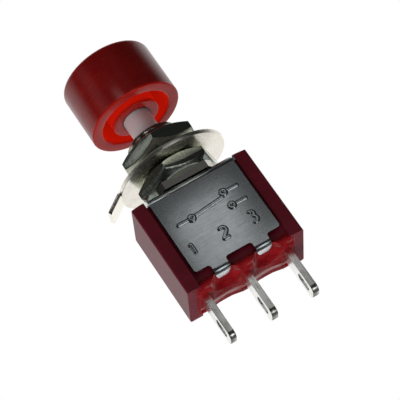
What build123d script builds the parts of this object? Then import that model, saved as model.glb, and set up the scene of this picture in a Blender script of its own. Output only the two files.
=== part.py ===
from build123d import *
import os
from math import atan, cos, degrees, radians, sin, tan

# Miniature panel-mounting momentary pushbutton switch, one changeover contact.
# Millimetres. The origin is on the bushing's axis at the top face of the steel frame.
# +Z runs towards the cap, X runs along the row of terminals, and the marked face looks along -Y.

# ---- case ----
case_thickness = 6.3
case_end_wall = 1.2
case_side_wall = 0.95
case_roof = 1.2
case_end_slope = 0.3
case_edge_radius = 0.5
case_corner_radius = 0.25
base_ledge = 0.2
headroom = 1.6  # from the highest contact leg up to the roof

# ---- steel frame, its tabs and the arches they are folded into ----
sheet = 0.4
frame_end_margin = 1.75  # how far the frame stops short of each end of the case
frame_proud = 0.25
frame_leg_gap = 1.42  # from the rim of the case up to the frame's lower edge
frame_bend_radius = 0.9
frame_side_gap = 0.3
leg_clearance = 0.25
seat_gap = 0.02
tab_width = 1.75
tab_tip_width = 1.15
tab_reach = 1.25
tab_bend_radius = 0.55
tab_root_fillet = 0.3
arch_height = 0.75
arch_radius = 0.7
arch_rib = 1.2  # between the two arches, round the middle terminal

# ---- base, potting and terminals ----
base_thickness = 1.0
base_height = 1.4  # from the rim of the case up to the underside of the base
epoxy_step = 0.1
meniscus_height = 0.5
meniscus_spread = 0.24
meniscus_tip = 0.01
terminal_pitch = 4.7
terminal_thickness = 0.7
terminal_width = 2.0
terminal_length = 5.3
terminal_end_gap = 0.35  # between the end terminals and the end walls
terminal_tip_radius = 0.65
lug_slot_width = 1.0
lug_slot_length = 2.0
lug_slot_height = 1.75  # from the tip to the middle of the slot
blade_side_gap = 0.5
blade_bend_radius = 0.9
leg_edge_radius = 0.1

# ---- bushing ----
thread_diameter = 6.0
thread_end = 7.4
thread_chamfer = 0.3
flange_height = 0.9
flange_corner = 0.7
flange_margin = 0.2  # beyond the thread, along the case
spigot_wall = 0.3
swage_lip = 0.2
swage_height = 0.5
chamber_end_wall = 1.8
mouth_chamfer = 0.3
keyway_width = 1.0
keyway_depth = 0.45
keyway_angle = 175.0

# ---- nuts and locating washer ----
nut_wall = 1.0  # from the thread out to the flats
nut_height = 2.0
nut_face_margin = 0.25
nut_chamfer_angle = 30.0
nut_bore_chamfer = 0.2
thread_clearance = 0.03
lower_nut_turn = -110.0
upper_nut_turn = -96.5
washer_diameter = 12.3
washer_tab_width = 2.7
washer_tab_length = 2.15
washer_tab_bend = 35.0
washer_tab_inset = 0.1
washer_tab_radius = 0.25
washer_relief_radius = 0.3

# ---- cap and plunger ----
cap_diameter = 10.2
cap_height = 6.45
cap_clearance = 1.7  # left between the rim and the bushing when pressed
cap_wall = 1.2
cap_crown = 1.2
cap_edge_radius = 0.5
cap_rim_radius = 0.12
cap_boss_wall = 1.15
cap_boss_drop = 0.1
cap_socket_depth = 3.6
plunger_diameter = 3.0
plunger_clearance = 0.05
plunger_tip_chamfer = 0.2
collar_overhang = 0.5
collar_clearance = 0.08
collar_height = 0.7
stem_diameter = 2.2
stem_clearance = 0.2
tenon_diameter = 1.4
tenon_length = 1.5
travel = 1.5

# ---- contacts and springs ----
arm_thickness = 0.4
arm_side_gap = 0.6
arm_neck_width = 1.5
arm_tail = 0.1
arm_tip_gap = 0.6  # between the arm's end and the terminal beyond it
arm_tip_round = 0.75
window_gap = 0.15
window_strap = 1.0
contact_diameter = 1.6
contact_head = 0.3
contact_dome = 0.12
contact_margin = 0.15  # round a contact, to the edge of what carries it
contact_shank = 0.8
contact_gap = 0.05
rivet_tail = 0.15
actuator_length = 2.2
actuator_gap = 0.1
nose_flat = 0.05
spring_wire = 0.36
spring_clearance = 0.15
spring_turns = 6
seat_thickness = 0.2
seat_clearance = 0.1
arm_spring_diameter = 1.9
arm_spring_wire = 0.28
arm_spring_turns = 5
spring_nub_diameter = 1.0
spring_nub_height = 0.6

# ---- plan sizes worked out from them ----
past = 1.0  # how far a cut runs on beyond the faces it opens
end_blade = terminal_pitch + terminal_thickness / 2
case_length = 2 * (end_blade + terminal_end_gap + case_end_wall)
cavity_length = case_length - 2 * case_end_wall
cavity_width = case_thickness - 2 * case_side_wall
upper_width = cavity_width - 2 * base_ledge
blade_width = upper_width - 2 * blade_side_gap
arm_width = upper_width - 2 * arm_side_gap
frame_width = case_length - 2 * frame_end_margin
frame_half = case_thickness / 2 + frame_proud
recess_half = frame_half - sheet - leg_clearance
arch_width = terminal_pitch - arch_rib
thread_radius = thread_diameter / 2
bore_radius = thread_radius + thread_clearance
keyway_floor = thread_radius - keyway_depth
nut_flats = thread_diameter + 2 * nut_wall
chamber_diameter = plunger_diameter + 2 * collar_overhang
spigot_radius = chamber_diameter / 2 + spigot_wall
seat_radius = spigot_radius + swage_lip

# ---- how the arm swings ----
arm_angle = atan(travel / terminal_pitch)
contact_x = terminal_pitch - terminal_thickness / 2 - arm_tip_gap - contact_margin - contact_diameter / 2
contact_reach = terminal_pitch + contact_x
arm_reach = contact_reach + contact_diameter / 2 + contact_margin
contact_face = arm_thickness / 2 + contact_head
contact_drop = (contact_reach + contact_diameter / 2) * sin(arm_angle)
contact_drop += (contact_face - contact_dome) * cos(arm_angle)
arm_height = terminal_thickness + contact_head + contact_gap + contact_drop
open_contact_x = contact_reach * cos(arm_angle) - contact_face * sin(arm_angle) - terminal_pitch

# ---- heights, from the top of the frame down ----
recess_top = -sheet - seat_gap
roof_underside = recess_top - case_roof
closed_leg_top = roof_underside - headroom
closed_leg_bottom = closed_leg_top - terminal_thickness
arm_top = closed_leg_bottom - contact_gap - 2 * contact_head
arm_level = arm_top - arm_thickness / 2
arm_bottom = arm_top - arm_thickness
base_top = arm_level - arm_height
open_leg_top = base_top + terminal_thickness
common_top = arm_top + window_gap + window_strap
base_bottom = base_top - base_thickness
case_rim = base_bottom - base_height
tip_level = case_rim - terminal_length
leg_end = case_rim + frame_leg_gap
tab_seat = case_rim + arch_height - seat_gap
actuator_top = roof_underside - actuator_gap
actuator_nose = arm_top + actuator_gap

# ---- heights of the bushing and what is on it ----
spigot_end = -sheet - swage_height
seat_bottom = spigot_end - seat_thickness
chamber_top = thread_end - chamber_end_wall
collar_top = chamber_top - seat_gap
collar_bottom = collar_top - collar_height
washer_base = flange_height + nut_height
cap_rim = thread_end + travel + cap_clearance
cap_top = cap_rim + cap_height
cap_ceiling = cap_top - cap_crown
boss_end = cap_rim - cap_boss_drop
socket_top = boss_end + cap_socket_depth


def block(x0, x1, y0, y1, z0, z1):
    """A box between two corners."""
    middle = ((x0 + x1) / 2, (y0 + y1) / 2, (z0 + z1) / 2)
    return Pos(*middle) * Box(x1 - x0, y1 - y0, z1 - z0)


def bar(half_x, half_y, z0, z1):
    """An upright bar centred on the Z axis."""
    return block(-half_x, half_x, -half_y, half_y, z0, z1)


def disc(radius, z0, z1, x=0):
    """An upright cylinder between two heights."""
    return Pos(x, 0, (z0 + z1) / 2) * Cylinder(radius, z1 - z0)


def turned(*points):
    """A solid of revolution about Z from (radius, height) points."""
    outline = Polyline(*[(r, 0, z) for r, z in points], close=True)
    return revolve(make_face(outline), Axis.Z)


def along_y(outline, half):
    """An outline drawn in X and Z, made solid from -half to +half in Y."""
    return extrude(Plane.XZ * outline, half, both=True)


def along_x(outline, half, x=0):
    """An outline drawn in Y and Z, made solid by half each way in X."""
    return Pos(x, 0, 0) * extrude(Plane.YZ * outline, half, both=True)


def edges_at(solid, direction, height):
    """The edges along one axis that lie at one height."""
    return solid.edges().filter_by(direction).filter_by_position(Axis.Z, height - 0.01, height + 0.01)


def rounded_top(half_width, top, radius, half_length):
    """A bar along X, open-ended below and rounded along its two top edges."""
    section = Rectangle(2 * half_width, top - case_rim + past, align=(Align.CENTER, Align.MAX))
    section = fillet(section.vertices().group_by(Axis.Y)[-1], radius)
    return Pos(0, 0, top) * along_x(section, half_length)


def frame_room(half_width):
    """The space inside the bent frame out to a half width, open-ended below."""
    return rounded_top(half_width, recess_top, frame_bend_radius - sheet, case_length)


def arches(half):
    """The two arched channels across the bottom, where the frame's tabs are folded in."""
    outline = RectangleRounded(arch_width, 2 * arch_height, arch_radius)
    return [Pos(x, 0, case_rim) * along_y(outline, half) for x in (-terminal_pitch / 2, terminal_pitch / 2)]


def terminal_places():
    """Where the common, normally open and normally closed terminals stand."""
    return [-terminal_pitch, 0, terminal_pitch]


def terminal_slot(x, z0, z1):
    """The clear slot round one terminal."""
    half_x = terminal_thickness / 2 + seat_gap
    half_y = terminal_width / 2 + seat_gap
    return block(x - half_x, x + half_x, -half_y, half_y, z0, z1)


# ---- housing ----
def make_case():
    """Red moulded case: a box open at the bottom, its middle sunk for the frame, with sloping ends."""
    end, shoulder = case_length / 2, frame_width / 2 + frame_side_gap
    front = make_face(Polyline(
        (-end, case_rim), (end, case_rim), (end, -case_end_slope), (shoulder, 0),
        (-shoulder, 0), (-end, -case_end_slope), close=True,
    ))
    body = along_y(front, case_thickness / 2)
    body = fillet(body.edges().filter_by(Axis.Z), case_corner_radius)
    body &= rounded_top(case_thickness / 2, 0, case_edge_radius, end)
    band = bar(shoulder, case_thickness, case_rim - past, past)
    body -= band - frame_room(recess_half)
    body -= bar(cavity_length / 2 - base_ledge, upper_width / 2, case_rim - past, roof_underside)
    body -= bar(cavity_length / 2, cavity_width / 2, case_rim - past, base_top)
    body -= disc(seat_radius + seat_clearance, seat_bottom, past)
    body -= disc(stem_diameter / 2 + stem_clearance, roof_underside - past, past)
    for arch in arches(case_thickness):
        body -= arch
    return body


def make_base():
    """Insulating base that carries the three terminals and the foot of the arm's spring."""
    base = bar(cavity_length / 2 - seat_gap, cavity_width / 2 - seat_gap, base_bottom, base_top)
    for x in terminal_places():
        base -= terminal_slot(x, base_bottom - past, base_top + past)
    return base + disc(spring_nub_diameter / 2, base_top, base_top + spring_nub_height, -terminal_pitch / 2)


def make_epoxy():
    """Potting that seals the bottom, creeping a little way down each terminal."""
    top = case_rim + epoxy_step
    fill = bar(cavity_length / 2 - seat_gap, cavity_width / 2 - seat_gap, top, base_bottom)
    for arch in arches(case_thickness):
        fill -= arch
    slot_x, slot_y = terminal_thickness + 2 * seat_gap, terminal_width + 2 * seat_gap
    for x in terminal_places():
        foot = Rectangle(slot_x + 2 * meniscus_spread, slot_y + 4 * meniscus_spread)
        tip = Rectangle(slot_x + 2 * meniscus_tip, slot_y + 2 * meniscus_tip)
        fill += loft([Pos(x, 0, top) * foot, Pos(x, 0, top - meniscus_height) * tip])
        fill -= terminal_slot(x, tip_level, base_bottom + past)
    return fill


def make_frame():
    """Steel frame bent to a U over the case, with four tabs folded in under its bottom."""
    half = frame_width / 2
    outer = rounded_top(frame_half, 0, frame_bend_radius, half)
    inner = rounded_top(frame_half - sheet, -sheet, frame_bend_radius - sheet, case_length)
    shell = outer - inner - bar(case_length, case_thickness, case_rim - 2 * past, leg_end)
    shell -= disc(spigot_radius + seat_gap, -2 * sheet, sheet)
    for x in (-terminal_pitch / 2, terminal_pitch / 2):
        for side in (-1, 1):
            shell += make_tab(x, side)
    roots = [e for e in edges_at(shell, Axis.Y, leg_end) if abs(e.center().X) < half - 0.1]
    shell = fillet(roots, tab_root_fillet)
    corners = [e for e in edges_at(shell, Axis.Y, leg_end) if abs(e.center().X) > half - 0.1]
    return fillet(corners, tab_root_fillet)


def make_tab(x, side):
    """One clinching tab: straight down from the leg, round a bend, and in under the case."""
    outer_y, inner_y, bottom = -frame_half, -frame_half + sheet, tab_seat - sheet
    tip_y = inner_y + tab_reach
    section = make_face(Polyline(
        (outer_y, leg_end), (outer_y, bottom), (tip_y, bottom), (tip_y, tab_seat),
        (inner_y, tab_seat), (inner_y, leg_end), close=True,
    ))
    heel = section.vertices().sort_by_distance((outer_y, bottom))[0]
    tab = along_x(fillet(heel, tab_bend_radius), tab_width / 2)
    root, tip = tab_width / 2, tab_tip_width / 2
    plan = make_face(Polyline(
        (-root, outer_y), (root, outer_y), (root, inner_y), (tip, tip_y), (-tip, tip_y), (-root, inner_y), close=True,
    ))
    plan = fillet(plan.vertices().group_by(Axis.Y)[-1], tab_tip_width / 3)
    tab &= Pos(0, 0, bottom) * extrude(plan, leg_end - bottom)
    tab = Pos(x, 0, 0) * tab
    return tab if side < 0 else mirror(tab, Plane.XZ)


def make_bushing():
    """Threaded bushing with a square foot, swaged into the frame, and a keyway down its thread."""
    foot = Rectangle(thread_diameter + 2 * flange_margin, thread_diameter)
    foot = chamfer(foot.vertices(), flange_corner)
    swage = turned(
        (0, spigot_end), (seat_radius, spigot_end), (seat_radius, recess_top - seat_gap),
        (spigot_radius, recess_top), (0, recess_top),
    )
    barrel = turned(
        (0, recess_top), (spigot_radius, recess_top), (spigot_radius, flange_height), (thread_radius, flange_height),
        (thread_radius, thread_end - thread_chamfer), (thread_radius - thread_chamfer, thread_end), (0, thread_end),
    )
    body = barrel + (swage & frame_room(frame_half - sheet - seat_gap)) + extrude(foot, flange_height)
    chamber, guide = chamber_diameter / 2, plunger_diameter / 2 + plunger_clearance
    body -= turned(
        (0, spigot_end - past), (chamber, spigot_end - past), (chamber, chamber_top), (guide, chamber_top),
        (guide, thread_end - mouth_chamfer), (guide + mouth_chamfer, thread_end),
        (guide + mouth_chamfer, thread_end + past), (0, thread_end + past),
    )
    half = keyway_width / 2
    slot = block(keyway_floor, thread_radius + past, -half, half, flange_height, thread_end + past)
    return body - Rot(0, 0, keyway_angle) * slot


def make_spring_seat():
    """Washer trapped under the bushing, which the return spring stands on."""
    hole = disc(stem_diameter / 2 + stem_clearance, seat_bottom - past, spigot_end + past)
    return disc(seat_radius, seat_bottom, spigot_end) - hole


# ---- nuts and washer ----
def make_nut(base, turn):
    """Hexagon nut, chamfered on both faces, with its first corner turned to an angle."""
    face, corner = nut_flats / 2 - nut_face_margin, nut_flats / 2 / cos(radians(30))
    drop = (corner - face) * tan(radians(nut_chamfer_angle))
    prism = extrude(RegularPolygon(nut_flats / 2, 6, major_radius=False), nut_height)
    lens = turned(
        (0, 0), (face, 0), (corner, drop), (corner, nut_height - drop), (face, nut_height), (0, nut_height),
    )
    wide, low, high = bore_radius + nut_bore_chamfer, nut_bore_chamfer, nut_height - nut_bore_chamfer
    hole = turned(
        (0, -past), (wide, -past), (wide, 0), (bore_radius, low),
        (bore_radius, high), (wide, nut_height), (wide, nut_height + past), (0, nut_height + past),
    )
    return Pos(0, 0, base) * Rot(0, 0, turn) * ((prism & lens) - hole)


def make_washer():
    """Locating washer: a tongue in the keyway inside, and a bent tab outside."""
    radius, half = washer_diameter / 2, washer_tab_width / 2
    root = radius - washer_tab_inset
    flat = Circle(radius) - Circle(bore_radius + thread_clearance)
    for side in (-half - washer_relief_radius, half + washer_relief_radius):
        flat -= Pos(root + washer_relief_radius, side) * Circle(washer_relief_radius)
    flat -= Pos(root + past, 0) * Rectangle(2 * past, washer_tab_width)
    tongue_root, tongue_half = bore_radius + 2 * washer_relief_radius, keyway_width / 2 - thread_clearance
    tongue = block(keyway_floor + 2 * thread_clearance, tongue_root, -tongue_half, tongue_half, 0, sheet)
    tab = block(0, washer_tab_length, -half, half, 0, sheet)
    tab = fillet(tab.edges().filter_by(Axis.Z).group_by(Axis.X)[-1], washer_tab_radius)
    angle = radians(washer_tab_bend)
    bend = make_face(Polyline((0, 0), (0, sheet), (sheet * sin(angle), sheet * cos(angle)), close=True))
    tab = Rot(0, washer_tab_bend, 0) * tab + along_y(bend, half)
    ring = extrude(flat, sheet) + tongue + Pos(root, 0, 0) * tab
    return Pos(0, 0, washer_base) * Rot(0, 0, keyway_angle) * ring


# ---- terminals and contacts ----
def make_blade(x, top):
    """The flat of one terminal: a slotted lug outside and a wider blade on the base inside."""
    lug = Rectangle(terminal_width, base_top - tip_level, align=(Align.CENTER, Align.MIN))
    lug = fillet(lug.vertices().group_by(Axis.Y)[0], terminal_tip_radius)
    lug -= Pos(0, lug_slot_height) * SlotOverall(lug_slot_length, lug_slot_width, rotation=90)
    blade = Rectangle(blade_width, top - base_top, align=(Align.CENTER, Align.MIN))
    return along_x(Pos(0, tip_level) * lug + Pos(0, base_top) * blade, terminal_thickness / 2, x)


def make_leg(x0, x1, bottom):
    """The part of a terminal that is bent over flat to carry a contact."""
    return block(x0, x1, -blade_width / 2, blade_width / 2, bottom, bottom + terminal_thickness)


def rivet_hole(x, z0, z1):
    """The hole that a contact's shank passes through."""
    return disc(contact_shank / 2 + seat_gap / 2, z0 - past, z1 + past, x)


def make_common():
    """Common terminal: its blade has a window that the contact arm rocks in."""
    half_y = (arm_neck_width + window_gap) / 2
    window = block(-case_length, 0, -half_y, half_y, arm_bottom - window_gap, arm_top + window_gap)
    return make_blade(-terminal_pitch, common_top) - window


def make_open_terminal():
    """Normally open terminal: its top is bent over flat on the base towards the contact."""
    leg = make_leg(-terminal_thickness / 2, open_contact_x + contact_diameter / 2 + contact_margin, base_top)
    leg = fillet(edges_at(leg, Axis.Y, open_leg_top).sort_by(Axis.X)[-1], leg_edge_radius)
    return leg + make_blade(0, open_leg_top) - rivet_hole(open_contact_x, base_top, open_leg_top)


def make_closed_terminal():
    """Normally closed terminal: its top is bent over above the end of the contact arm."""
    body = make_leg(contact_x - contact_diameter / 2 - contact_margin, end_blade, closed_leg_bottom)
    body += make_blade(terminal_pitch, closed_leg_top)
    body = fillet(edges_at(body, Axis.Y, closed_leg_top).sort_by(Axis.X)[-1], blade_bend_radius)
    return body - rivet_hole(contact_x, closed_leg_bottom, closed_leg_top)


def make_head(x, face, back):
    """A round contact head between two heights, its face slightly domed."""
    radius = contact_diameter / 2
    dome = (radius**2 + contact_dome**2) / (2 * contact_dome)
    centre = face - dome if face > back else face + dome
    return disc(radius, min(face, back), max(face, back), x) & Pos(x, 0, centre) * Sphere(dome)


def make_open_contact():
    """Silver contact on the normally open terminal, its shank in the bent leg."""
    head = make_head(open_contact_x, open_leg_top + contact_head, open_leg_top)
    return head + disc(contact_shank / 2, base_top, open_leg_top, open_contact_x)


def make_closed_contact():
    """Silver contact under the normally closed terminal, its shank spread on top."""
    tail_top = closed_leg_top + rivet_tail
    head = make_head(contact_x, closed_leg_bottom - contact_head, closed_leg_bottom)
    tail = disc(contact_shank / 2 + rivet_tail, closed_leg_top, tail_top, contact_x)
    return head + disc(contact_shank / 2, closed_leg_bottom, closed_leg_top, contact_x) + tail


def make_moving_contact():
    """Double-headed silver rivet through the end of the contact arm."""
    heads = make_head(contact_x, arm_top + contact_head, arm_top)
    heads += make_head(contact_x, arm_bottom - contact_head, arm_bottom)
    return heads + disc(contact_shank / 2, arm_bottom, arm_top, contact_x)


def make_arm():
    """Copper contact arm: a neck that rocks in the common terminal, and a tapering blade."""
    tail, shoulder = -terminal_thickness / 2 - arm_tail, terminal_thickness / 2 + window_gap
    neck, wide, tip = arm_neck_width / 2, arm_width / 2, contact_diameter / 2 + contact_margin
    waist = (shoulder + contact_reach) / 2
    plan = make_face(Polyline(
        (tail, -neck), (shoulder, -neck), (shoulder, -wide), (waist, -wide), (arm_reach, -tip),
        (arm_reach, tip), (waist, wide), (shoulder, wide), (shoulder, neck), (tail, neck), close=True,
    ))
    plan = fillet(plan.vertices().group_by(Axis.X)[-1], arm_tip_round)
    arm = Pos(-terminal_pitch, 0, arm_bottom) * extrude(plan, arm_thickness)
    return arm - rivet_hole(contact_x, arm_bottom, arm_top)


# ---- springs ----
def coil(mean_radius, wire, turns, low, high, x=0):
    """A compression spring standing between two heights; its round wire is drawn eight-sided."""
    height = high - low - wire
    path = Helix(pitch=height / turns, height=height, radius=mean_radius)
    section = Plane(origin=path @ 0, z_dir=path % 0) * RegularPolygon(wire / 2, 8)
    return Pos(x, 0, low + wire / 2) * sweep(section, path=path, is_frenet=True)


def make_return_spring():
    """Return spring in the bushing, from its seat up to the collar of the plunger."""
    mean = (chamber_diameter - spring_wire) / 2 - spring_clearance
    return coil(mean, spring_wire, spring_turns, spigot_end, collar_bottom)


def make_arm_spring():
    """Small spring that holds the arm up against the normally closed contact."""
    mean = (arm_spring_diameter - arm_spring_wire) / 2
    return coil(mean, arm_spring_wire, arm_spring_turns, base_top, arm_bottom, -terminal_pitch / 2)


# ---- button ----
def make_cap():
    """Moulded cap: a round cup with a boss inside that grips the plunger."""
    outer, boss = cap_diameter / 2, plunger_diameter / 2 + cap_boss_wall
    cup = disc(outer, cap_rim, cap_top)
    cup = fillet(cup.edges().group_by(Axis.Z)[-1], cap_edge_radius)
    cup -= disc(outer - cap_wall, cap_rim - past, cap_ceiling)
    cup = fillet(cup.edges().filter_by(GeomType.CIRCLE).group_by(Axis.Z)[0], cap_rim_radius)
    post = disc(boss, boss_end, cap_top - cap_crown / 2)
    post = fillet(post.edges().filter_by(GeomType.CIRCLE).group_by(Axis.Z)[0], cap_rim_radius)
    return cup + post - disc(plunger_diameter / 2 + seat_gap, boss_end - past, socket_top)


def make_plunger():
    """White plunger: rod, collar that the spring lifts, stem, and a tenon for the actuator."""
    rod, collar = plunger_diameter / 2, chamber_diameter / 2 - collar_clearance
    stem, tenon, foot = stem_diameter / 2, tenon_diameter / 2, actuator_top - tenon_length
    return turned(
        (0, foot), (tenon, foot), (tenon, actuator_top), (stem, actuator_top), (stem, collar_bottom),
        (collar, collar_bottom), (collar, collar_top), (rod, collar_top), (rod, socket_top - plunger_tip_chamfer),
        (rod - plunger_tip_chamfer, socket_top), (0, socket_top),
    )


def make_actuator():
    """Insulating foot on the plunger, with a rounded nose that presses the arm."""
    section = Rectangle(actuator_length, actuator_top - actuator_nose, align=(Align.CENTER, Align.MAX))
    section = fillet(section.vertices().group_by(Axis.Y)[0], (actuator_length - nose_flat) / 2)
    foot = Pos(0, 0, actuator_top) * along_y(section, blade_width / 2)
    socket_end = actuator_top - tenon_length - seat_gap
    return foot - disc(tenon_diameter / 2 + seat_gap, socket_end, actuator_top + past)


parts = {
    "case": make_case(),
    "terminal_base": make_base(),
    "epoxy_seal": make_epoxy(),
    "frame": make_frame(),
    "bushing": make_bushing(),
    "lower_nut": make_nut(flange_height, lower_nut_turn),
    "locating_washer": make_washer(),
    "upper_nut": make_nut(washer_base + sheet, upper_nut_turn),
    "spring_seat": make_spring_seat(),
    "return_spring": make_return_spring(),
    "terminal_common": make_common(),
    "terminal_normally_open": make_open_terminal(),
    "terminal_normally_closed": make_closed_terminal(),
    "contact_normally_open": make_open_contact(),
    "contact_normally_closed": make_closed_contact(),
    "arm_spring": make_arm_spring(),
    "contact_arm": make_arm(),
    "moving_contact": make_moving_contact(),
    "cap": make_cap(),
    "plunger": make_plunger(),
    "actuator": make_actuator(),
}

os.makedirs("parts", exist_ok=True)
for node, solid in parts.items():
    export_step(solid, f"parts/{node}.step")
print("case", round(case_length, 3), "x", case_thickness, "x", round(-case_rim, 4))
print("arm level", round(arm_level, 4), "turns", round(degrees(arm_angle), 3), "degrees for", travel, "mm of travel")
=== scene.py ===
"""Looks of a panel-mounting pushbutton switch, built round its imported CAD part.

All is in metres, in the part's own frame: the origin lies on the bushing's axis at the top of the
steel frame, +Z runs up to the cap, X runs along the row of lugs and the marked face looks along -Y.
"""

from __future__ import annotations

import logging
import math
from dataclasses import dataclass, field
from enum import Enum
from typing import Any, Sequence

import bmesh
import bpy
import numpy as np
from mathutils import Matrix, Vector

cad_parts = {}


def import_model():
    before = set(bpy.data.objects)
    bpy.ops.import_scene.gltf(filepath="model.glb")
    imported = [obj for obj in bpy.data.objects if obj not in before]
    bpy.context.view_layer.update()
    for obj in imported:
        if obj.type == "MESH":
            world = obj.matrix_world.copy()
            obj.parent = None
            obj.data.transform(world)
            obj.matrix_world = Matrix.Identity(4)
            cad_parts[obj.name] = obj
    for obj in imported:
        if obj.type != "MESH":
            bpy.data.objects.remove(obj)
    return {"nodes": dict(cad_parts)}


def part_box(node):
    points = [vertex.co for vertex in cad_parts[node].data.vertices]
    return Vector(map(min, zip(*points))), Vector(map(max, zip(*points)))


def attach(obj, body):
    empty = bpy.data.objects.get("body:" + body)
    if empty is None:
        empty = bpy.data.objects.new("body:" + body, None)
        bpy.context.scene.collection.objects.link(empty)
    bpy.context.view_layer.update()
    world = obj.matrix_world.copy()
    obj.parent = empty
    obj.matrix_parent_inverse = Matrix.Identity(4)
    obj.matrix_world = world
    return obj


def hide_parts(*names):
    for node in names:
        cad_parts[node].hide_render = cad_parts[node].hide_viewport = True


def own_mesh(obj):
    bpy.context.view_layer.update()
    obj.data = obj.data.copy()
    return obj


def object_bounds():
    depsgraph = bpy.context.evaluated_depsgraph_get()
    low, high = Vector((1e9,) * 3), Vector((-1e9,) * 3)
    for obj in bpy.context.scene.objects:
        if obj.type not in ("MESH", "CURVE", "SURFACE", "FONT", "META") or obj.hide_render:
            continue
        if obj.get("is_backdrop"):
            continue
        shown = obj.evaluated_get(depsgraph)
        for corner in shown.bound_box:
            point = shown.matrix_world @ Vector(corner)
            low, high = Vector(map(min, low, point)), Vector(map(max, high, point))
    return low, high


LOG = logging.getLogger("pushbutton")
MM = 0.001
MERGE = 0.001 * MM
TINY = 1e-9
NOTHING = 1e-30
CREASE = 33.0
FLAT_WEIGHT = 90
HOUSING = "housing"
BUTTON = "button"
WHITE = (1.0, 1.0, 1.0)
BLACK = (0.0, 0.0, 0.0)
PATCHY = (0.35, 0.7)
Triple = tuple[float, float, float]
Colour = Triple
Point = tuple[float, float]
Nodes = dict[str, bpy.types.Object]


# ---------------------------------------------------------------- node trees
class Sock:
    """An output socket that takes part in Python arithmetic, which adds its Math nodes."""

    def __init__(self, sheet: Sheet, socket: bpy.types.NodeSocket) -> None:
        """Wraps a socket.

        Args:
            sheet: The node tree it belongs to.
            socket: The output socket.
        """
        self.sheet = sheet
        self.socket = socket

    def maths(self, operation: str, *others: Sock | float, clamp: bool = False) -> Sock:
        """Adds a Math node with this socket as its first value.

        Args:
            operation: The Math node's operation.
            *others: Its second and third values.
            clamp: True to hold the result between 0 and 1.

        Returns:
            The node's result.
        """
        return self.sheet.maths(operation, self, *others, clamp=clamp)

    def __add__(self, other: Sock | float) -> Sock:
        """Sum."""
        return self.maths("ADD", other)

    __radd__ = __add__

    def __sub__(self, other: Sock | float) -> Sock:
        """Difference."""
        return self.maths("SUBTRACT", other)

    def __rsub__(self, other: Sock | float) -> Sock:
        """Difference from a number."""
        return self.sheet.maths("SUBTRACT", other, self)

    def __mul__(self, other: Sock | float) -> Sock:
        """Product."""
        return self.maths("MULTIPLY", other)

    __rmul__ = __mul__

    def __truediv__(self, other: Sock | float) -> Sock:
        """Quotient."""
        return self.maths("DIVIDE", other)

    def __neg__(self) -> Sock:
        """The same size with the other sign."""
        return self.maths("MULTIPLY", -1.0)

    def __gt__(self, other: Sock | float) -> Sock:
        """1 where this is the greater, else 0."""
        return self.maths("GREATER_THAN", other)

    def __lt__(self, other: Sock | float) -> Sock:
        """1 where this is the lesser, else 0."""
        return self.maths("LESS_THAN", other)

    def __abs__(self) -> Sock:
        """Size without its sign."""
        return self.maths("ABSOLUTE")

    def least(self, other: Sock | float) -> Sock:
        """The lesser of two."""
        return self.maths("MINIMUM", other)

    def most(self, other: Sock | float) -> Sock:
        """The greater of two."""
        return self.maths("MAXIMUM", other)

    def held(self) -> Sock:
        """The same, held between 0 and 1."""
        return self.maths("ADD", 0.0, clamp=True)

    def smooth(self, low: float, high: float) -> Sock:
        """A soft step from 0 at low to 1 at high.

        Args:
            low: Where the step starts.
            high: Where it ends; it may be the lesser, for a falling step.

        Returns:
            The step, between 0 and 1.
        """
        t = ((self - low) * (1.0 / (high - low))).held()
        return t * t * (3.0 - 2.0 * t)


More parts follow.
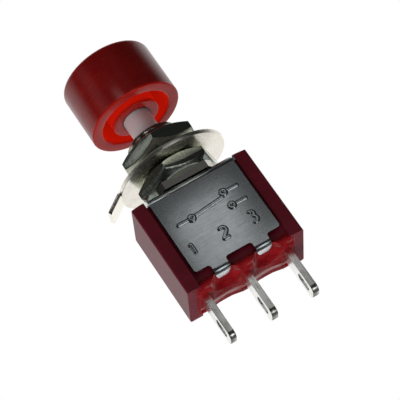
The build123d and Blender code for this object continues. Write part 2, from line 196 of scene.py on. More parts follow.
class Sheet:
    """A node tree being written, for a material, the world or a Geometry Nodes group."""

    def __init__(self, tree: bpy.types.NodeTree) -> None:
        """Starts on an empty tree.

        Args:
            tree: The node tree; what it holds is removed.
        """
        self.tree = tree
        tree.nodes.clear()

    def node(
        self,
        kind: str,
        settings: dict[str, Any] | None = None,
        inputs: dict[str, Any] | None = None,
        out: str | int = 0,
    ) -> Sock:
        """Adds one node.

        Args:
            kind: The node's type name.
            settings: Its properties.
            inputs: A value or a Sock for each input, by the input's identifier or name.
            out: The output that is wanted, by place or name.

        Returns:
            That output.
        """
        made = self.tree.nodes.new(kind)
        for key, value in (settings or {}).items():
            setattr(made, key, value)
        for key, value in (inputs or {}).items():
            socket = self._input(made, key)
            if isinstance(value, Sock):
                self.tree.links.new(value.socket, socket)
            else:
                socket.default_value = self._fitted(socket, value)
        if not made.outputs:
            return Sock(self, made.inputs[0])
        return Sock(self, made.outputs[out])

    @staticmethod
    def _input(node: bpy.types.Node, key: str) -> bpy.types.NodeSocket:
        """The input with that identifier or, failing that, that name."""
        return next((socket for socket in node.inputs if socket.identifier == key), None) or node.inputs[key]

    @staticmethod
    def _fitted(socket: bpy.types.NodeSocket, value: Any) -> Any:
        """A value as the socket takes it: a colour gets its alpha."""
        return (*value, 1.0) if socket.type == "RGBA" else value

    def maths(self, operation: str, *values: Sock | float, clamp: bool = False) -> Sock:
        """Adds a Math node.

        Args:
            operation: Its operation.
            *values: Up to three values or sockets.
            clamp: True to hold the result between 0 and 1.

        Returns:
            Its result.
        """
        places = dict(zip(("Value", "Value_001", "Value_002"), values))
        return self.node("ShaderNodeMath", {"operation": operation, "use_clamp": clamp}, places)

    def mix(self, factor: Sock | float, first: Colour, second: Colour) -> Sock:
        """The colour between two, the first where the factor is 0."""
        colours = {"Factor_Float": factor, "A_Color": first, "B_Color": second}
        return self.node("ShaderNodeMix", {"data_type": "RGBA"}, colours, out=2)

    def either(self, factor: Sock, first: Sock, second: Sock) -> Sock:
        """The shader between two, the first where the factor is 0."""
        shaders = {"Fac": factor, "Shader": first, "Shader_001": second}
        return self.node("ShaderNodeMixShader", None, shaders)

    def vector(self, x: Sock, y: Sock, z: Sock) -> Sock:
        """The vector with those three parts."""
        return self.node("ShaderNodeCombineXYZ", None, {"X": x, "Y": y, "Z": z})

    def millimetres(self, stretch: Triple = (1.0, 1.0, 1.0), turn: Triple = (0.0, 0.0, 0.0)) -> Sock:
        """The place on the piece in millimetres.

        Args:
            stretch: How many pattern units go into a millimetre along each axis.
            turn: A turn of the pattern, in radians.

        Returns:
            The place as a vector.
        """
        place = self.node("ShaderNodeTexCoord", out="Object")
        scale = tuple(s / MM for s in stretch)
        return self.node("ShaderNodeMapping", None, {"Vector": place, "Scale": scale, "Rotation": turn})

    def noise(self, at: Sock, scale: float, detail: float = 2.0, rough: float = 0.5) -> Sock:
        """Noise between 0 and 1.

        Args:
            at: The place.
            scale: Features per unit.
            detail: Octaves.
            rough: Weight of the finer octaves.

        Returns:
            The noise.
        """
        inputs = {"Vector": at, "Scale": scale, "Detail": detail, "Roughness": rough}
        return self.node("ShaderNodeTexNoise", None, inputs)

    def split(self, vector: Sock) -> tuple[Sock, Sock, Sock]:
        """The three parts of a vector."""
        parts = self.node("ShaderNodeSeparateXYZ", None, {"Vector": vector}).socket.node
        return tuple(Sock(self, out) for out in parts.outputs)

    @staticmethod
    def from_axis(x: Sock, y: Sock) -> Sock:
        """How far a place is from the bushing's axis."""
        return (x * x + y * y).maths("SQRT")

    def principled(self, inputs: dict[str, Any]) -> Sock:
        """A Principled shader with those inputs."""
        return self.node("ShaderNodeBsdfPrincipled", {"subsurface_method": "RANDOM_WALK"}, inputs)

    def bump(self, height: Sock, depth: float, below: Sock | None = None) -> Sock:
        """Surface relief.

        Args:
            height: Relief between 0 and 1.
            depth: The height of 1, in metres.
            below: A relief that this one is added to.

        Returns:
            The changed normal.
        """
        inputs: dict[str, Any] = {"Height": height, "Distance": depth, "Strength": 1.0}
        if below is not None:
            inputs["Normal"] = below
        return self.node("ShaderNodeBump", None, inputs)

    def surface(self, shader: Sock) -> None:
        """Makes a shader the material's surface, or the world's."""
        kind = "ShaderNodeOutputWorld" if self.is_world() else "ShaderNodeOutputMaterial"
        self.node(kind, None, {"Surface": shader})

    def is_world(self) -> bool:
        """True for the world's own tree."""
        world = bpy.context.scene.world
        return world is not None and world.node_tree == self.tree


# ---------------------------------------------------------------- finishes
@dataclass(frozen=True)
class Finish:
    """What a surface is made of; each kind writes its own material."""

    name: str

    def material(self) -> bpy.types.Material:
        """The material, made once and then shared.

        Returns:
            The material of that name.
        """
        label = f"{self.name}_finish"
        found = bpy.data.materials.get(label)
        if found is not None:
            return found
        made = bpy.data.materials.new(label)
        made.use_nodes = True
        sheet = Sheet(made.node_tree)
        sheet.surface(self.shader(sheet))
        return made

    def shader(self, sheet: Sheet) -> Sock:
        """Writes the shader.

        Args:
            sheet: The material's tree.

        Returns:
            The shader's output.
        """
        raise NotImplementedError


@dataclass(frozen=True)
class Moulding(Finish):
    """Moulded plastic: a cloudy colour under a faintly pitted skin, with an optional painted glow."""

    colour: Colour
    deep: Colour
    roughness: float = 0.35
    cloud: float = 0.5
    tint_edge: Point = (0.3, 0.7)
    pits: float = 6.0
    pit_depth: float = 0.004 * MM
    flow: float = 0.0
    flow_lines: float = 1.3
    flow_stretch: Triple = (0.25, 0.25, 1.6)
    ior: float = 1.5
    subsurface: float = 0.0
    spread: Colour = (1.0, 0.2, 0.1)
    spread_size: float = 1.0 * MM
    uneven: float = 0.12
    scuffs: float = 0.1
    scuff_edge: Point = (0.55, 0.8)
    scuff_stretch: Triple = (0.6, 0.6, 7.0)
    scuff_turn: Triple = (0.5, 0.3, 0.0)
    # painted glow: emission that paints light seen through the cap's wall into the hollow round its boss and
    # onto the boss's end
    painted_glow: Colour = BLACK
    painted_glow_boss: Point = (1.6, 1.9)
    painted_glow_wall: Point = (3.95, 4.03)
    painted_glow_rise: Point = (10.55, 10.95)
    painted_glow_roof: Point = (16.1, 16.3)
    painted_glow_fade: Point = (6.0, 0.5)
    painted_glow_rim: float = 0.35

    def painted_glow_share(self, sheet: Sheet, at: Sock) -> Sock:
        """Where the painted glow goes: the hollow round the boss, standing in for light that comes through the
        wall, and weaker below it.

        Args:
            sheet: The material's tree.
            at: The place, in millimetres.

        Returns:
            The painted glow's share, between 0 and 1.
        """
        x, y, z = sheet.split(at)
        radius = sheet.from_axis(x, y)
        off_socket = radius.smooth(*self.painted_glow_boss)
        ring = off_socket * (1.0 - radius.smooth(*self.painted_glow_wall))
        raised = z.smooth(*self.painted_glow_rise)
        full = self.painted_glow_rise[1]
        reach, loss = self.painted_glow_fade
        hollow = ring * raised * (1.0 - z.smooth(full, full + reach) * loss)
        hollow = hollow * (1.0 - z.smooth(*self.painted_glow_roof))
        return (hollow + off_socket * (1.0 - raised) * self.painted_glow_rim).held()

    def shader(self, sheet: Sheet) -> Sock:
        """Writes the shader.

        Args:
            sheet: The material's tree.

        Returns:
            The shader's output.
        """
        at = sheet.millimetres()
        cloud = sheet.noise(at, self.cloud, detail=4.0, rough=0.6)
        drawn = sheet.noise(sheet.millimetres(self.flow_stretch), self.flow_lines, detail=3.0, rough=0.55)
        tint = (cloud * (1.0 - self.flow) + drawn * self.flow).smooth(*self.tint_edge)
        pits = sheet.noise(at, self.pits, detail=3.0, rough=0.6)
        slanted = sheet.millimetres(self.scuff_stretch, self.scuff_turn)
        scuffs = sheet.noise(slanted, 1.0, detail=4.0, rough=0.7).smooth(*self.scuff_edge)
        rough = self.roughness + (pits - 0.5) * self.uneven + scuffs * self.scuffs
        inputs = {
            "Base Color": sheet.mix(tint, self.deep, self.colour),
            "Roughness": rough.held(),
            "IOR": self.ior,
            "Subsurface Weight": self.subsurface,
            "Subsurface Radius": self.spread,
            "Subsurface Scale": self.spread_size,
            "Normal": sheet.bump(pits, self.pit_depth),
        }
        # painted glow: the hollow and the boss's end emit light, standing in for light that comes through the
        # wall; no lamp is there
        if any(self.painted_glow):
            inputs["Emission Color"] = sheet.mix(self.painted_glow_share(sheet, at), BLACK, self.painted_glow)
            inputs["Emission Strength"] = 1.0
        return sheet.principled(inputs)


@dataclass(frozen=True)
class Potting(Finish):
    """Poured red resin: wet-looking, a little uneven, with grains and streaks in its depth."""

    colour: Colour
    deep: Colour
    roughness: float = 0.28
    ior: float = 1.15
    depth: float = 0.25
    spread: Colour = (1.0, 0.15, 0.1)
    spread_size: float = 0.6 * MM
    cloud: float = 0.9
    waves: float = 1.4
    wave_depth: float = 0.015 * MM
    skin: float = 9.0
    skin_depth: float = 0.003 * MM
    dust: float = 14.0
    dust_edge: Point = (0.68, 0.8)
    uneven: float = 0.06
    dust_gloss: float = 0.25

    def shader(self, sheet: Sheet) -> Sock:
        """Writes the shader.

        Args:
            sheet: The material's tree.

        Returns:
            The shader's output.
        """
        at = sheet.millimetres()
        cloud = sheet.noise(at, self.cloud, detail=4.0, rough=0.6).smooth(*PATCHY)
        waves = sheet.noise(at, self.waves, rough=0.4)
        skin = sheet.noise(at, self.skin)
        dust = sheet.noise(at, self.dust).smooth(*self.dust_edge)
        return sheet.principled({
            "Base Color": sheet.mix(cloud, self.deep, self.colour),
            "Roughness": (self.roughness + dust * self.dust_gloss + (cloud - 0.5) * self.uneven).held(),
            "IOR": self.ior,
            "Subsurface Weight": self.depth,
            "Subsurface Radius": self.spread,
            "Subsurface Scale": self.spread_size,
            "Normal": sheet.bump(skin, self.skin_depth, sheet.bump(waves, self.wave_depth)),
        })


class Grain(Enum):
    """Which way a metal's marks run."""

    ALONG_X = (0.06, 1.0, 1.0)
    ALONG_Z = (1.0, 1.0, 0.05)
    ROUND = (1.0, 1.0, 1.0)


@dataclass(frozen=True)
class Metal(Finish):
    """Plated or bare metal: drawn or turned marks, patches of dull film, and fine pits."""

    colour: Colour
    film: Colour
    roughness: float = 0.3
    uneven: float = 0.12
    grain: Grain = Grain.ROUND
    lines: float = 14.0
    line_depth: float = 0.002 * MM
    patches: float = 0.45
    film_share: float = 0.5
    pits: float = 9.0
    pit_depth: float = 0.002 * MM
    streaks: float = 0.25
    streak_edge: Point = (0.35, 0.65)
    sheared: float = 0.0
    wall_edge: Point = (0.5, 0.1)
    tears: float = 5.0
    tear_edge: Point = (0.35, 0.6)
    tear_film: float = 0.9
    tear_depth: float = 0.05 * MM
    turned: Triple = (0.04, 0.04, 0.6)

    def marks(self, sheet: Sheet) -> Sock:
        """The drawn or turned lines, between 0 and 1.

        Args:
            sheet: The material's tree.

        Returns:
            Their relief.
        """
        if self.grain is Grain.ROUND:
            x, y, z = sheet.split(sheet.millimetres())
            by_x, by_y, by_z = self.turned
            around = sheet.vector(sheet.from_axis(x, y), x * by_x, z * by_z + y * by_y)
            return sheet.noise(around, self.lines, detail=3.0, rough=0.6)
        return sheet.noise(sheet.millimetres(self.grain.value), self.lines, detail=3.0, rough=0.65)

    def shader(self, sheet: Sheet) -> Sock:
        """Writes the shader.

        Args:
            sheet: The material's tree.

        Returns:
            The shader's output.
        """
        at = sheet.millimetres()
        film = sheet.noise(at, self.patches, detail=5.0, rough=0.6).smooth(*PATCHY) * self.film_share
        marks = self.marks(sheet)
        film = (film + (marks.smooth(*self.streak_edge) - 0.5) * self.streaks).held()
        pits = sheet.noise(at, self.pits, detail=3.0, rough=0.6)
        rough = self.roughness + (film - 0.5 * self.film_share) * self.uneven + (marks - 0.5) * self.uneven
        relief = sheet.bump(pits, self.pit_depth, sheet.bump(marks, self.line_depth))
        if self.sheared:
            _, _, up = sheet.split(sheet.node("ShaderNodeNewGeometry", out="True Normal"))
            wall = abs(up).smooth(*self.wall_edge)
            torn = sheet.noise(sheet.millimetres(Grain.ALONG_Z.value), self.tears, detail=3.0, rough=0.7)
            film = (film + wall * (torn.smooth(*self.tear_edge) * self.tear_film)).held()
            rough = rough + wall * self.sheared
            relief = sheet.bump(torn * wall, self.tear_depth, relief)
        return sheet.principled({
            "Base Color": sheet.mix(film, self.colour, self.film),
            "Metallic": 1.0,
            "Roughness": rough.held(),
            "Normal": relief,
        })


FINISHES: dict[str, Finish] = {
    "case_red": Moulding(
        "case_red", (0.165, 0.0095, 0.022), (0.125, 0.0068, 0.015), roughness=0.40, pit_depth=0.006 * MM,
        flow=0.4, ior=1.28,
    ),
    "base_red": Moulding("base_red", (0.120, 0.012, 0.022), (0.090, 0.009, 0.016), roughness=0.5),
    "epoxy_red": Potting("epoxy_red", (0.300, 0.0090, 0.012), (0.200, 0.0052, 0.0080)),
    # the cap's glow colour is painted light in its hollow, standing in for light through its wall
    "cap_red": Moulding(
        "cap_red", (0.290, 0.0068, 0.0055), (0.235, 0.0050, 0.0042), roughness=0.25, pit_depth=0.003 * MM,
        ior=1.42, subsurface=0.5, spread=(1.0, 0.06, 0.03), spread_size=1.2 * MM, painted_glow=(0.32, 0.0050, 0.0006),
    ),
    "plunger_white": Moulding(
        "plunger_white", (0.82, 0.79, 0.80), (0.74, 0.71, 0.72), roughness=0.38, subsurface=0.3,
        spread=(1.0, 0.9, 0.8), spread_size=0.5 * MM,
    ),
    "frame_steel": Metal(
        "frame_steel", (0.55, 0.59, 0.61), (0.42, 0.46, 0.48), roughness=0.24, grain=Grain.ALONG_X, lines=9.0,
        film_share=0.3, patches=0.6, streaks=0.16, line_depth=0.0015 * MM,
    ),
    "nickel": Metal("nickel", (0.60, 0.59, 0.54), (0.45, 0.45, 0.41), roughness=0.13, uneven=0.08),
    "nut_nickel": Metal(
        "nut_nickel", (0.50, 0.54, 0.47), (0.36, 0.40, 0.34), roughness=0.15, uneven=0.10, film_share=0.4,
        grain=Grain.ALONG_Z, lines=5.0, line_depth=0.020 * MM, streaks=0.5,
    ),
    "nut_turned": Metal(
        "nut_turned", (0.50, 0.54, 0.47), (0.32, 0.36, 0.31), roughness=0.15, uneven=0.10, film_share=0.4,
        lines=6.0, line_depth=0.020 * MM, streaks=0.6,
    ),
    "washer_steel": Metal(
        "washer_steel", (0.95, 0.91, 0.82), (0.80, 0.76, 0.68), roughness=0.26, uneven=0.06, sheared=0.06,
    ),
    "spring_wire": Metal("spring_wire", (0.62, 0.60, 0.56), (0.48, 0.46, 0.42), roughness=0.25),
    "terminal_tin": Metal(
        "terminal_tin", (0.88, 0.88, 0.85), (0.66, 0.66, 0.63), roughness=0.26, grain=Grain.ALONG_Z, lines=7.0,
        line_depth=0.014 * MM, film_share=0.5, patches=0.8, streaks=0.5,
    ),
    "silver": Metal("silver", (0.90, 0.88, 0.84), (0.60, 0.55, 0.48), roughness=0.25),
    "contact_copper": Metal(
        "contact_copper", (0.80, 0.42, 0.26), (0.50, 0.24, 0.14), roughness=0.3, grain=Grain.ALONG_X,
    ),
}
SLOT_OF_NODE: dict[str, str] = {
    "case": "case_red", "terminal_base": "base_red", "epoxy_seal": "epoxy_red", "frame": "frame_steel",
    "bushing": "nickel", "lower_nut": "nut_nickel", "upper_nut": "nut_nickel",
    "locating_washer": "washer_steel", "spring_seat": "washer_steel", "return_spring": "spring_wire",
    "arm_spring": "spring_wire", "terminal_common": "terminal_tin",
    "terminal_normally_open": "terminal_tin", "terminal_normally_closed": "terminal_tin",
    "contact_normally_open": "silver", "contact_normally_closed": "silver",
    "moving_contact": "silver", "contact_arm": "contact_copper",
    "cap": "cap_red", "plunger": "plunger_white", "actuator": "plunger_white",
}


# ---------------------------------------------------------------- shapes
class RoundedCopy:
    """A finer copy of a CAD node: its facets are bent back to the curves that they stand for.

    Attributes:
        flat_turn: Cosine between neighbours past which they are one flat.
        blunt: Sine between two surfaces under which their edge's direction can't be told from them.
        stray: Cosine between a tangent and its edge under which the edge stays straight.
        weld: How near two points are one, in metres.
        flat_angle: Angle under which neighbours end up as one face.
    """

    flat_turn: float = 0.99995
    blunt: float = 0.1
    stray: float = 0.8
    weld: float = 0.0001 * MM
    flat_angle: float = math.radians(0.25)

    def __init__(self, source: bpy.types.Object, crease: float = CREASE, level: int = 3) -> None:
        """Reads the node's mesh.

        Args:
            source: The CAD node.
            crease: Degrees between faces past which an edge is a real one.
            level: How many parts each facet's edge is cut into.
        """
        self.crease = math.cos(math.radians(crease))
        self.level = level
        work = bmesh.new()
        work.from_mesh(source.data)
        bmesh.ops.remove_doubles(work, verts=work.verts, dist=self.weld)
        bmesh.ops.dissolve_degenerate(work, edges=work.edges, dist=self.weld)
        bmesh.ops.triangulate(work, faces=work.faces)
        work.verts.index_update()
        self.points = np.array([v.co for v in work.verts], float)
        self.faces = np.array([[v.index for v in f.verts] for f in work.faces], int)
        work.free()
        sides = self.points[self.faces]
        cross = np.cross(sides[:, 1] - sides[:, 0], sides[:, 2] - sides[:, 0])
        size = np.linalg.norm(cross, axis=1)
        self.areas = size / 2
        self.normals = cross / np.maximum(size, NOTHING)[:, None]
        self.pairs: dict[tuple[int, int], list[int]] = {}
        for index, face in enumerate(self.faces):
            for a, b in ((0, 1), (1, 2), (2, 0)):
                self.pairs.setdefault(tuple(sorted((face[a], face[b]))), []).append(index)
        self.corner_normals = self._corner_normals()

    def _cosine(self, a: int, b: int) -> float:
        """The cosine of the angle between two faces."""
        return float(self.normals[a] @ self.normals[b])

    def _corner(self, face: int, vertex: int) -> int:
        """Which corner of a face a vertex is."""
        return int(np.nonzero(self.faces[face] == vertex)[0][0])

    def _flats(self) -> np.ndarray:
        """Joins faces that lie in one plane.

        Returns:
            The number of the flat that each face belongs to.
        """
        owner = list(range(len(self.faces)))

        def head(i: int) -> int:
            """Looks up a face's flat.

            Args:
                i: The face.

            Returns:
                The face that stands for its flat.
            """
            while owner[i] != i:
                owner[i] = owner[owner[i]]
                i = owner[i]
            return i

        for faces in self.pairs.values():
            if len(faces) == 2 and self._cosine(*faces) > self.flat_turn:
                owner[head(faces[0])] = head(faces[1])
        return np.array([head(i) for i in range(len(self.faces))])

    def _corner_normals(self) -> np.ndarray:
        """The surface's direction at each corner of each face; a wide flat outweighs its fillet.

        Returns:
            A unit vector for each face's three corners.
        """
        flats = self._flats()
        flat_area = np.zeros(len(self.faces))
        np.add.at(flat_area, flats, self.areas)
        around: dict[int, list[int]] = {}
        for index, face in enumerate(self.faces):
            for corner in face:
                around.setdefault(int(corner), []).append(index)
        result = np.repeat(self.normals[:, None, :], 3, axis=1)
        for vertex, faces in around.items():
            for group in self._fans(vertex, faces):
                seen: dict[int, np.ndarray] = {}
                for index in group:
                    seen.setdefault(int(flats[index]), self.normals[index])
                total = sum(normal * flat_area[flat] ** 2 for flat, normal in seen.items())
                length = np.linalg.norm(total)
                if length < NOTHING:
                    continue
                for index in group:
                    result[index, self._corner(index, vertex)] = total / length
        return result

    def _fans(self, vertex: int, faces: list[int]) -> list[list[int]]:
        """The faces round a vertex, parted at its sharp edges.

        Args:
            vertex: The vertex.
            faces: The faces round it.

        Returns:
            The faces of each part.
        """
        left, fans = set(faces), []
        while left:
            fan, queue = [], [left.pop()]
            while queue:
                index = queue.pop()
                fan.append(index)
                for other in self.faces[index]:
                    if other == vertex:
                        continue
                    pair = self.pairs[tuple(sorted((vertex, int(other))))]
                    if len(pair) == 2 and self._cosine(*pair) > self.crease:
                        for near in pair:
                            if near in left:
                                left.discard(near)
                                queue.append(near)
            fans.append(fan)
        return fans

    def _handle(self, face: int, start: int, end: int) -> np.ndarray:
        """The control point next to one end of a face's edge.

        Args:
            face: The face.
            start: The corner at that end.
            end: The corner at the other end.

        Returns:
            The point.
        """
        first, last = int(self.faces[face, start]), int(self.faces[face, end])
        place = self.points[first]
        way = self.points[last] - place
        length = np.linalg.norm(way)
        normal = self.corner_normals[face, start]
        pair = self.pairs[tuple(sorted((first, last)))]
        tangent = way - (way @ normal) * normal
        if len(pair) == 2 and self._cosine(*pair) <= self.crease:
            one, two = (self.corner_normals[side, self._corner(side, first)] for side in sorted(pair))
            cross = np.cross(one, two)
            blunt = np.linalg.norm(cross) < self.blunt
            tangent = way if blunt else cross * np.sign(cross @ way)
        size = np.linalg.norm(tangent)
        if size < TINY * MM or (tangent @ way) < self.stray * size * length:
            return place + way / 3
        return place + tangent / size * length / 3

    def mesh(self, name: str) -> bpy.types.Mesh:
        """Builds the finer mesh.

        Args:
            name: Its name.

        Returns:
            The mesh, with its flats as single faces.
        """
        n = self.level
        p = self.points[self.faces]
        count = range(len(self.faces))
        ends = ((0, 1), (0, 2), (1, 0), (1, 2), (2, 0), (2, 1))
        handles = {(a, b): np.array([self._handle(face, a, b) for face in count]) for a, b in ends}
        edge_mean = sum(handles.values()) / 6
        centre = edge_mean + (edge_mean - p.mean(axis=1)) / 2
        rows, places = {}, []
        for i in range(n + 1):
            for j in range(n + 1 - i):
                rows[i, j] = len(places)
                v, w = i / n, j / n
                u = 1 - v - w
                place = u**3 * p[:, 0] + v**3 * p[:, 1] + w**3 * p[:, 2] + 6 * u * v * w * centre
                for near, far, a, b in ((u, v, 0, 1), (v, w, 1, 2), (w, u, 2, 0)):
                    place = place + 3 * near * near * far * handles[a, b] + 3 * near * far * far * handles[b, a]
                places.append(place)
        grid = np.stack(places, axis=1)
        cells = []
        for i in range(n):
            for j in range(n - i):
                cells.append((rows[i, j], rows[i + 1, j], rows[i, j + 1]))
                if i + j < n - 1:
                    cells.append((rows[i + 1, j], rows[i + 1, j + 1], rows[i, j + 1]))
        step = grid.shape[1]
        faces = (np.arange(len(grid))[:, None, None] * step + np.array(cells)[None]).reshape(-1, 3)
        mesh = bpy.data.meshes.new(name)
        mesh.from_pydata(grid.reshape(-1, 3).tolist(), [], faces.tolist())
        work = bmesh.new()
        work.from_mesh(mesh)
        bmesh.ops.remove_doubles(work, verts=work.verts, dist=2 * self.weld)
        bmesh.ops.dissolve_limit(
            work, angle_limit=self.flat_angle, verts=work.verts, edges=work.edges,
            use_dissolve_boundaries=False,
        )
        return finished(work, mesh)


def finished(work: bmesh.types.BMesh, mesh: bpy.types.Mesh | str) -> bpy.types.Mesh:
    """Writes a bmesh out and frees it.

    Args:
        work: The bmesh.
        mesh: The mesh that it is written to, or the name of a new one.

    Returns:
        The mesh.
    """
    if isinstance(mesh, str):
        mesh = bpy.data.meshes.new(mesh)
    work.to_mesh(mesh)
    work.free()
    return mesh


def turned_out(work: bmesh.types.BMesh, name: str) -> bpy.types.Mesh:
    """Points every face outwards and writes a new mesh of that name."""
    bmesh.ops.recalc_face_normals(work, faces=work.faces)
    return finished(work, name)


def placed(name: str, data: bpy.types.ID) -> bpy.types.Object:
    """Puts new data into the scene.

    Args:
        name: The object's name.
        data: Its mesh, lamp or camera.

    Returns:
        The object.
    """
    made = bpy.data.objects.new(name, data)
    bpy.context.scene.collection.objects.link(made)
    return made


def soften(mesh: bpy.types.Mesh, width: float, crease: float) -> None:
    """Rounds a mesh's sharp edges a little.

    Args:
        mesh: The mesh, changed in place.
        width: How wide the rounding is, in metres.
        crease: Degrees past which an edge counts as sharp.
    """
    work = bmesh.new()
    work.from_mesh(mesh)
    limit = math.radians(crease)
    sharp = [e for e in work.edges if len(e.link_faces) == 2 and e.calc_face_angle(0.0) > limit]
    bmesh.ops.bevel(
        work, geom=sharp, offset=width, offset_type="OFFSET", segments=2, profile=0.5,
        affect="EDGES", clamp_overlap=True, loop_slide=True, miter_outer="ARC",
    )
    bmesh.ops.remove_doubles(work, verts=work.verts, dist=MERGE)
    bmesh.ops.dissolve_degenerate(work, dist=MERGE, edges=work.edges)
    finished(work, mesh)


def shown(
    name: str, mesh: bpy.types.Mesh, node: str = "", *, slot: str = "", finish: str = "", body: str = HOUSING,
    width: float = 0.0, sharp: float = CREASE, crease: float = 40.0, moved: Matrix | None = None,
) -> bpy.types.Object:
    """Rounds and shades a mesh and puts it into the scene as a piece of the switch.

    Args:
        name: The piece's name.
        mesh: Its mesh.
        node: The CAD node it stands for, if it stands for one.
        slot: The material slot it takes its finish from, if it isn't the node's own.
        finish: The finish, if it isn't named like the slot.
        body: The CAD body it rides on.
        width: How wide its edges are rounded, in metres; such a piece's wide faces stay flat.
        sharp: Degrees past which an edge is rounded.
        crease: Degrees past which an edge then stays sharp in the shading.
        moved: Where the finished mesh is moved to, if it isn't in place.

    Returns:
        The new object.
    """
    slot = slot or SLOT_OF_NODE[node]
    if width:
        soften(mesh, width, sharp)
    mesh.shade_smooth()
    mesh.set_sharp_from_angle(angle=math.radians(crease))
    if moved:
        mesh.transform(moved)
    mesh.name = name
    mesh.materials.clear()
    mesh.materials.append(FINISHES[finish or slot].material())
    piece = placed(name, mesh)
    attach(piece, body)
    if node:
        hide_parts(node)
    if width:
        flats = piece.modifiers.new("flats", "WEIGHTED_NORMAL")
        flats.keep_sharp = True
        flats.weight = FLAT_WEIGHT
    LOG.info("%s: %d faces on %s", name, len(mesh.polygons), body)
    return piece


def lathe(outline: Sequence[Point], steps: int) -> bpy.types.Mesh:
    """Turns an outline about Z.

    Args:
        outline: (radius, height) points, from the axis and back to it, anticlockwise seen from -Y.
        steps: Facets round the axis.

    Returns:
        The closed mesh.
    """
    work = bmesh.new()
    rings = []
    for radius, height in outline:
        if radius < TINY:
            rings.append([work.verts.new((0, 0, height))] * steps)
            continue
        angles = (2 * math.pi * i / steps for i in range(steps))
        rings.append([work.verts.new((radius * math.cos(a), radius * math.sin(a), height)) for a in angles])
    for low, high in zip(rings, rings[1:]):
        for i in range(steps):
            j = (i + 1) % steps
            corners = dict.fromkeys((low[i], low[j], high[j], high[i]))
            if len(corners) > 2:
                work.faces.new(tuple(corners))
    return turned_out(work, "turned")


def rounded(points: Sequence[Triple], steps: int) -> list[Point]:
    """An outline with its corners rounded.

    Args:
        points: (radius, height, corner radius) of each corner.
        steps: Facets in each rounded corner.

    Returns:
        The (radius, height) points.
    """
    result: list[Point] = []
    for i, (x, z, r) in enumerate(points):
        if r == 0 or i in (0, len(points) - 1):
            result.append((x, z))
            continue
        here = Vector((x, z))
        to_last = (Vector(points[i - 1][:2]) - here).normalized()
        to_next = (Vector(points[i + 1][:2]) - here).normalized()
        half = to_last.angle(to_next) / 2
        centre = here + (to_last + to_next).normalized() * (r / math.sin(half))
        start = here + to_last * (r / math.tan(half)) - centre
        end = here + to_next * (r / math.tan(half)) - centre
        turn = start.angle_signed(end)
        for step in range(steps + 1):
            arm = start.copy()
            arm.rotate(Matrix.Rotation(-turn * step / steps, 2))
            result.append(tuple(centre + arm))
    return result


class NodeGroup:
    """A Geometry Nodes group with named inputs, and the plain mesh that it makes."""

    def __init__(self, name: str) -> None:
        """Starts an empty group with a geometry input and output.

        Args:
            name: The group's name.
        """
        self.group = bpy.data.node_groups.new(name, "GeometryNodeTree")
        self.sheet = Sheet(self.group)
        for way in ("INPUT", "OUTPUT"):
            self.group.interface.new_socket("Geometry", in_out=way, socket_type="NodeSocketGeometry")
        self.identifiers: dict[str, str] = {}
        self.entry = self.group.nodes.new("NodeGroupInput")

    def input(self, name: str, kind: str = "NodeSocketFloat") -> Sock:
        """Adds a named input.

        Args:
            name: Its name.
            kind: Its socket type.

        Returns:
            Its value inside the group.
        """
        made = self.group.interface.new_socket(name, in_out="INPUT", socket_type=kind)
        self.identifiers[name] = made.identifier
        return Sock(self.sheet, next(o for o in self.entry.outputs if o.identifier == made.identifier))

    def finish(self, geometry: Sock, material: Sock) -> None:
        """Ends the group in real, dressed geometry.

        Args:
            geometry: What it makes.
            material: The material it gets.
        """
        real = self.sheet.node("GeometryNodeRealizeInstances", None, {"Geometry": geometry})
        dressed = self.sheet.node("GeometryNodeSetMaterial", None, {"Geometry": real, "Material": material})
        self.sheet.node("NodeGroupOutput", None, {"Geometry": dressed})

    def mesh(self, host: bpy.types.Object, values: dict[str, Any]) -> bpy.types.Mesh:
        """Runs the group on an object and keeps the result as a plain mesh.

        Args:
            host: The object it runs on; it is removed afterwards.
            values: A value for each named input.

        Returns:
            The mesh.
        """
        modifier = host.modifiers.new(self.group.name, "NODES")
        modifier.node_group = self.group
        for name, value in values.items():
            modifier[self.identifiers[name]] = value
        bpy.context.view_layer.update()
        graph = bpy.context.evaluated_depsgraph_get()
        mesh = bpy.data.meshes.new_from_object(host.evaluated_get(graph))
        bpy.data.objects.remove(host)
        return mesh


# ---------------------------------------------------------------- the switch
def ease(low: float, high: float, value: np.ndarray) -> np.ndarray:
    """Rises smoothly from 0 to 1.

    Args:
        low: Where the rise starts.
        high: Where it ends.
        value: What is tested.

    Returns:
        The share for each value.
    """
    share = np.clip((value - low) / (high - low), 0.0, 1.0)
    return share * share * (3.0 - 2.0 * share)


def arc(centre: Point, radius: float, start: float, end: float, steps: int = 16) -> list[Point]:
    """Points along an arc.

    Args:
        centre: Its centre.
        radius: Its radius.
        start: Its first angle, in degrees.
        end: Its last angle.
        steps: How many parts it has.

    Returns:
        The points.
    """
    turns = (math.radians(start + (end - start) * i / steps) for i in range(steps + 1))
    return [(centre[0] + radius * math.cos(t), centre[1] + radius * math.sin(t)) for t in turns]


